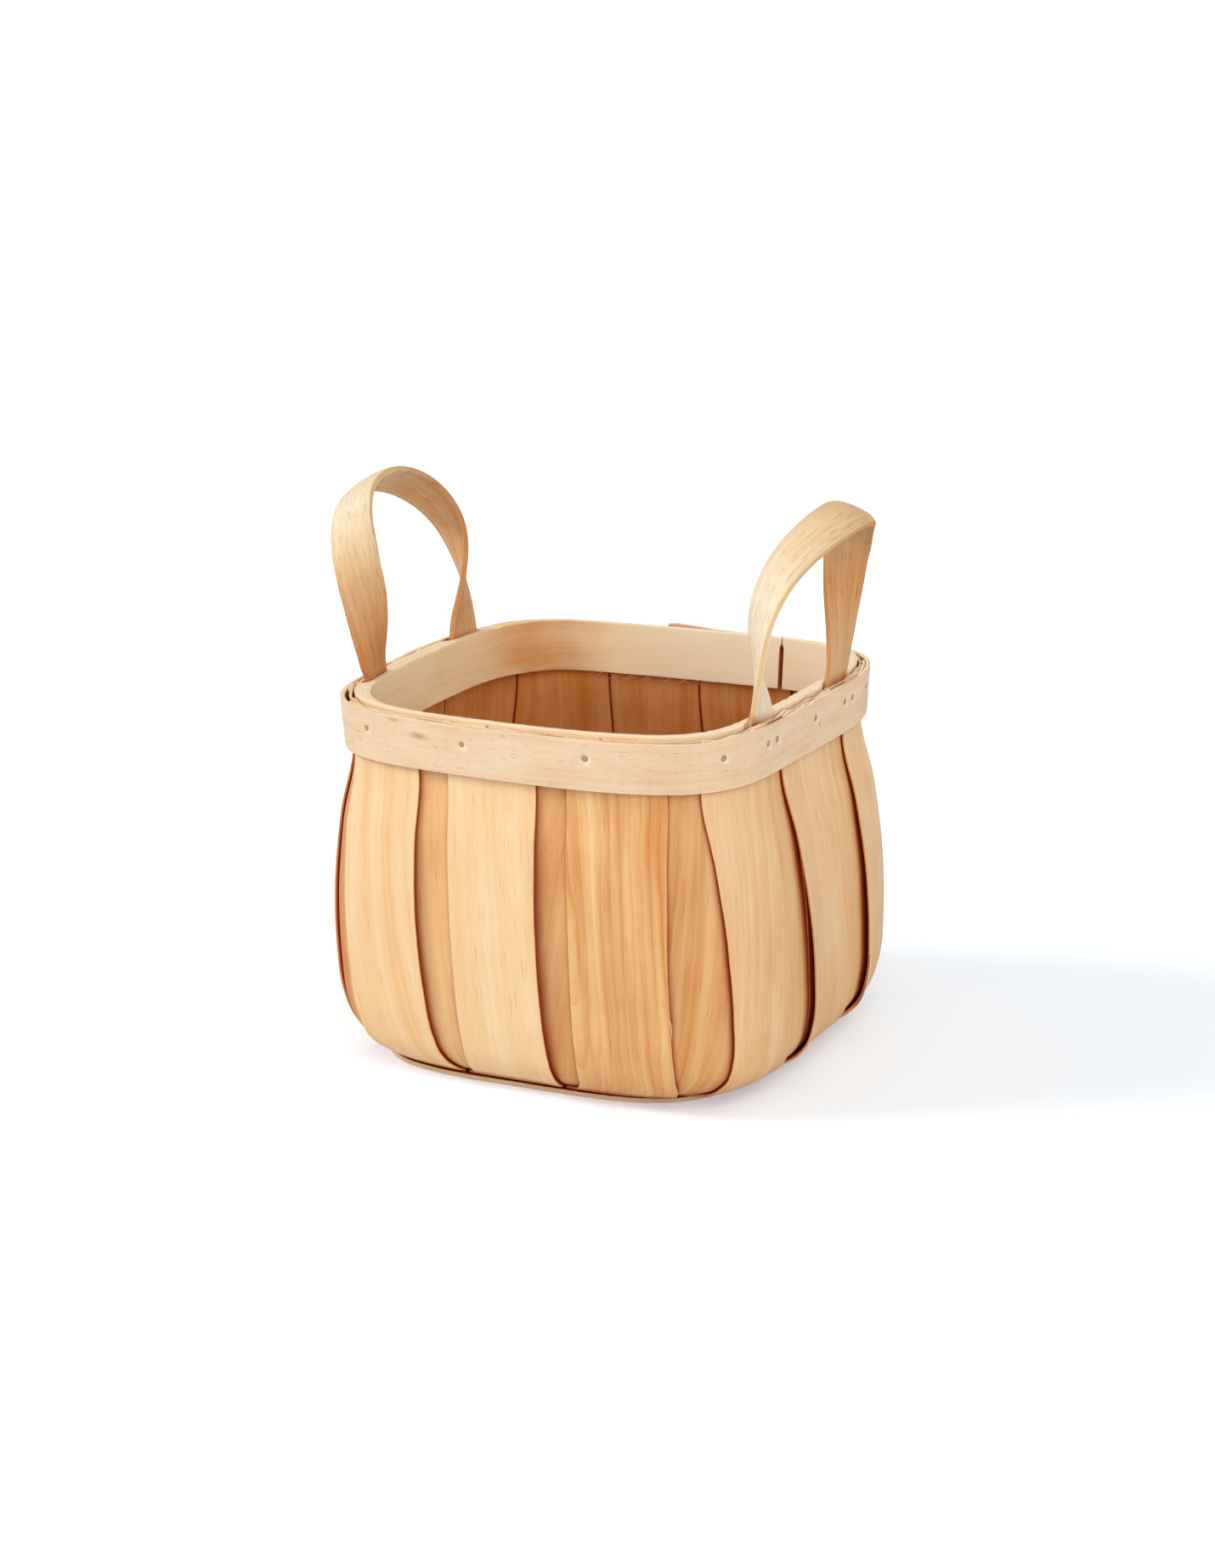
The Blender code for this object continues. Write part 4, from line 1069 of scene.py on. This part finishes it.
def make_fibres(name, node, material, paths, look, thickest=FIBRE_RADIUS):
    """Loose fibres in one mesh: a tapered round hair along each path."""
    sides = 5
    vertices, faces, grains = [], [], []
    for number, path in enumerate(paths):
        path = np.array(path)
        travel = unit(np.gradient(path, axis=0))
        base = len(vertices)
        side = unit(np.cross(travel, np.array([0.3, 0.2, 1.0]) + 0 * travel))
        lift = np.cross(travel, side)
        for step, point in enumerate(path):
            radius = thickest * (1 - 0.75 * step / (len(path) - 1))
            for corner in range(sides):
                angle = 2 * math.pi * corner / sides
                offset = side[step] * math.cos(angle) + lift[step] * math.sin(angle)
                vertices.append(tuple(point + radius * offset))
                grains.append((0.002 * number, number, 0.0005 * step))
        for step in range(len(path) - 1):
            for corner in range(sides):
                after = (corner + 1) % sides
                here, there = base + step * sides, base + (step + 1) * sides
                faces.append((here + corner, here + after, there + after, there + corner))
        faces.append(tuple(base + corner for corner in reversed(range(sides))))
        faces.append(tuple(base + (len(path) - 1) * sides + corner for corner in range(sides)))
    mesh = bpy.data.meshes.new(name)
    mesh.from_pydata(vertices, [], faces)
    mark(mesh, "grain", np.array(grains))
    mark(mesh, "tone", np.tile(look, (len(vertices), 1)))
    mark(mesh, "dent", np.zeros(len(vertices)))
    mesh.materials.append(material)
    mesh.shade_smooth()
    piece = bpy.data.objects.new(name, mesh)
    bpy.context.scene.collection.objects.link(piece)
    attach(piece, "root")
    return piece


def hoop_fibres():
    """Curled fibres that hang from the inner hoop's lower edge at the back."""
    paths = []
    low = INNER_HOOP_TOP - INNER_HOOP_HEIGHT
    for number in range(18):
        start = 0.500 + 0.072 * number / 17 + 0.004 * wave(number * 2.7, 1.1)
        run = 0.0042 + 0.0030 * wave(number * 1.9, 4.2)
        drop = 0.0019 + 0.0014 * wave(number * 3.3, 7.7)
        turn = 1 if number % 3 else -1
        steps = np.linspace(0, 1, 9)
        shares = start + turn * run * steps / shell.rim_perimeter
        heights = low + 0.0002 - drop * np.sin(steps * (1.6 + 1.2 * wave(number, 0.5))) * 1.2
        depths = splints_depth() + INNER_HOOP_THICKNESS * 0.6 + 0.0020 * steps ** 1.5
        paths.append(shell.rim(shares, heights, depths))
    return paths


def splint_fibres():
    """Slivers that have sprung off the right edge of the splint left of the middle."""
    paths = []
    for number, (height, length, out) in enumerate((
        (0.118, 9, 0.0007), (0.112, 12, 0.0010), (0.106, 10, 0.0009), (0.099, 14, 0.0012), (0.124, 8, 0.0006),
    )):
        first = int(np.searchsorted(shell.heights, height))
        path = []
        for step in range(length):
            row = first - step
            right = outer_edges(row)[0][1]
            part = step / (length - 1)
            stray = 0.0010 * math.sin(math.pi * part * 0.8) + 0.0003 * number
            lift = OUTER_LOOKS[0][-1] * 0.9 + out * math.sin(math.pi * part * 0.7)
            path.append(shell.face(row, np.array([right + 0.3 * stray]), np.array([-lift]))[0])
        paths.append(path)
    return paths


def edge_sliver(index, side, first_height, length, bow):
    """A sliver that has peeled off a splint's edge and runs down along it."""
    first = int(np.searchsorted(shell.heights, first_height))
    path = []
    for step in range(length):
        row = first - step
        edge = outer_edges(row)[index][side]
        bulge = math.sin(math.pi * step / (length - 1))
        away = -1 if side == 0 else 1
        lift = OUTER_LOOKS[index][5 + side] * looseness(shell.heights[row])
        path.append(shell.face(row, np.array([edge + away * bow * bulge]), np.array([-lift - 0.3 * bow * bulge]))[0])
    return path


make_fibres("inner_hoop_fibres", "inner_hoop", HOOP, hoop_fibres(), (0.3, 0.0, 0.0))
make_fibres("outer_splint_01_fibres", "outer_splint_01", SPLINT, splint_fibres(), (-0.4, 0.0, 0.0))
make_fibres("outer_splint_05_sliver", "outer_splint_05", SPLINT,
            [edge_sliver(4, 0, 0.036, 20, 0.0016), edge_sliver(4, 0, 0.028, 17, 0.0006)], (-0.2, 0.0, 0.0),
            thickest=SLIVER_RADIUS)
make_fibres("outer_splint_02_sliver", "outer_splint_02", SPLINT,
            [edge_sliver(1, 1, 0.046, 7, 0.0005)], (-0.3, 0.0, 0.0), thickest=SLIVER_RADIUS * 0.6)
make_splints()
make_outer_hoop()
make_inner_hoop()
make_handle("handle_left", LEFT_HANDLE, (0.45, 0.4, 0.15, -0.3, -0.15, 0.25, 0.3, 0.25, 0.25), (0.0, 0.0, 0.02), 91.0)
# Painted shade: the right handle's colour deepens at its crest, which faces up into the light
make_handle("handle_right", RIGHT_HANDLE, (-0.25, -0.35, -0.4, -0.1, 0.12, 0.15, 0.35, 0.25, 0.1), (0.0, 0.0, -0.02), 97.0)
make_board("base_board", BASE_HALF + BOARD_PROUD, 0, 101.0, (0.05, 0.0, 0.6))
inner_board_bottom = BOARD_THICKNESS + 2 * SPLINT_THICKNESS + 3 * CLEARANCE
make_board("inner_board", BASE_HALF - INNER_BOARD_MARGIN, inner_board_bottom, 107.0, (-0.1, 0.0, 0.6))


# Floor, lights and camera

FLOOR_GLOW = 0.325
WORLD_LEVEL = 0.485


def make_floor():
    mesh = bpy.data.meshes.new("floor")
    reach = 30
    mesh.from_pydata([(-reach, -reach, 0), (reach, -reach, 0), (reach, reach, 0), (-reach, reach, 0)], [],
                     [(0, 1, 2, 3)])
    floor = bpy.data.objects.new("floor", mesh)
    bpy.context.scene.collection.objects.link(floor)
    floor.location.z = -0.0002
    g = Graph("floor")
    g.shader.inputs["Base Color"].default_value = (0.80, 0.87, 0.94, 1)
    g.shader.inputs["Roughness"].default_value = 0.9
    path = g.tree.nodes.new("ShaderNodeLightPath")
    g.shader.inputs["Emission Color"].default_value = (1, 1, 1, 1)
    g.put(g.shader.inputs["Emission Strength"], g.math("MULTIPLY", path.outputs["Is Camera Ray"], FLOOR_GLOW))
    mesh.materials.append(g.material)


def make_world():
    world = bpy.data.worlds.new("studio")
    bpy.context.scene.world = world
    world.use_nodes = True
    tree = world.node_tree
    background = tree.nodes["Background"]
    background.inputs["Color"].default_value = (1, 1, 1, 1)
    path = tree.nodes.new("ShaderNodeLightPath")
    seen = tree.nodes.new("ShaderNodeMath")
    seen.operation = "MAXIMUM"
    tree.links.new(path.outputs["Is Camera Ray"], seen.inputs[0])
    tree.links.new(path.outputs["Is Glossy Ray"], seen.inputs[1])
    clear = tree.nodes.new("ShaderNodeMath")
    clear.operation = "MAXIMUM"
    tree.links.new(seen.outputs[0], clear.inputs[0])
    tree.links.new(path.outputs["Is Transmission Ray"], clear.inputs[1])
    level = tree.nodes.new("ShaderNodeMapRange")
    level.inputs["To Min"].default_value = WORLD_LEVEL
    level.inputs["To Max"].default_value = 1.0
    tree.links.new(clear.outputs[0], level.inputs["Value"])
    tree.links.new(level.outputs[0], background.inputs["Strength"])


def make_lamp(name, place, level, spread, colour):
    """A far, soft lamp. A white face turned to a lamp of level 1 renders white."""
    lamp = bpy.data.lights.new(name, "SUN")
    lamp.energy = level * math.pi
    lamp.angle = math.radians(spread)
    lamp.color = colour
    light = bpy.data.objects.new(name, lamp)
    light.location = place
    light.rotation_euler = Vector(place).to_track_quat("Z", "Y").to_euler()
    bpy.context.scene.collection.objects.link(light)


def make_camera():
    camera = bpy.data.cameras.new("camera")
    camera.sensor_fit = "VERTICAL"
    camera.sensor_height = 36
    camera.lens = 82.35
    camera.clip_start = 0.05
    camera.clip_end = 100
    view = bpy.data.objects.new("camera", camera)
    azimuth, elevation = math.radians(24.59), math.radians(15.56)
    right = Vector((math.cos(azimuth), math.sin(azimuth), 0))
    back = Vector((math.sin(azimuth) * math.cos(elevation), -math.cos(azimuth) * math.cos(elevation),
                   math.sin(elevation)))
    up = back.cross(right)
    turn = Matrix((right, up, back)).transposed().to_4x4()
    view.matrix_world = Matrix.Translation((0.6427, -1.4027, 0.5447)) @ turn
    bpy.context.scene.collection.objects.link(view)
    bpy.context.scene.camera = view


make_floor()
make_world()
make_lamp("key", (-2.0, -1.0, 1.5), 0.46, 18, (1.0, 0.995, 0.985))
make_lamp("fill", (1.5, -1.6, 1.1), 0.42, 60, (1.0, 1.0, 1.0))
make_camera()
bpy.context.scene.view_settings.view_transform = "Standard"
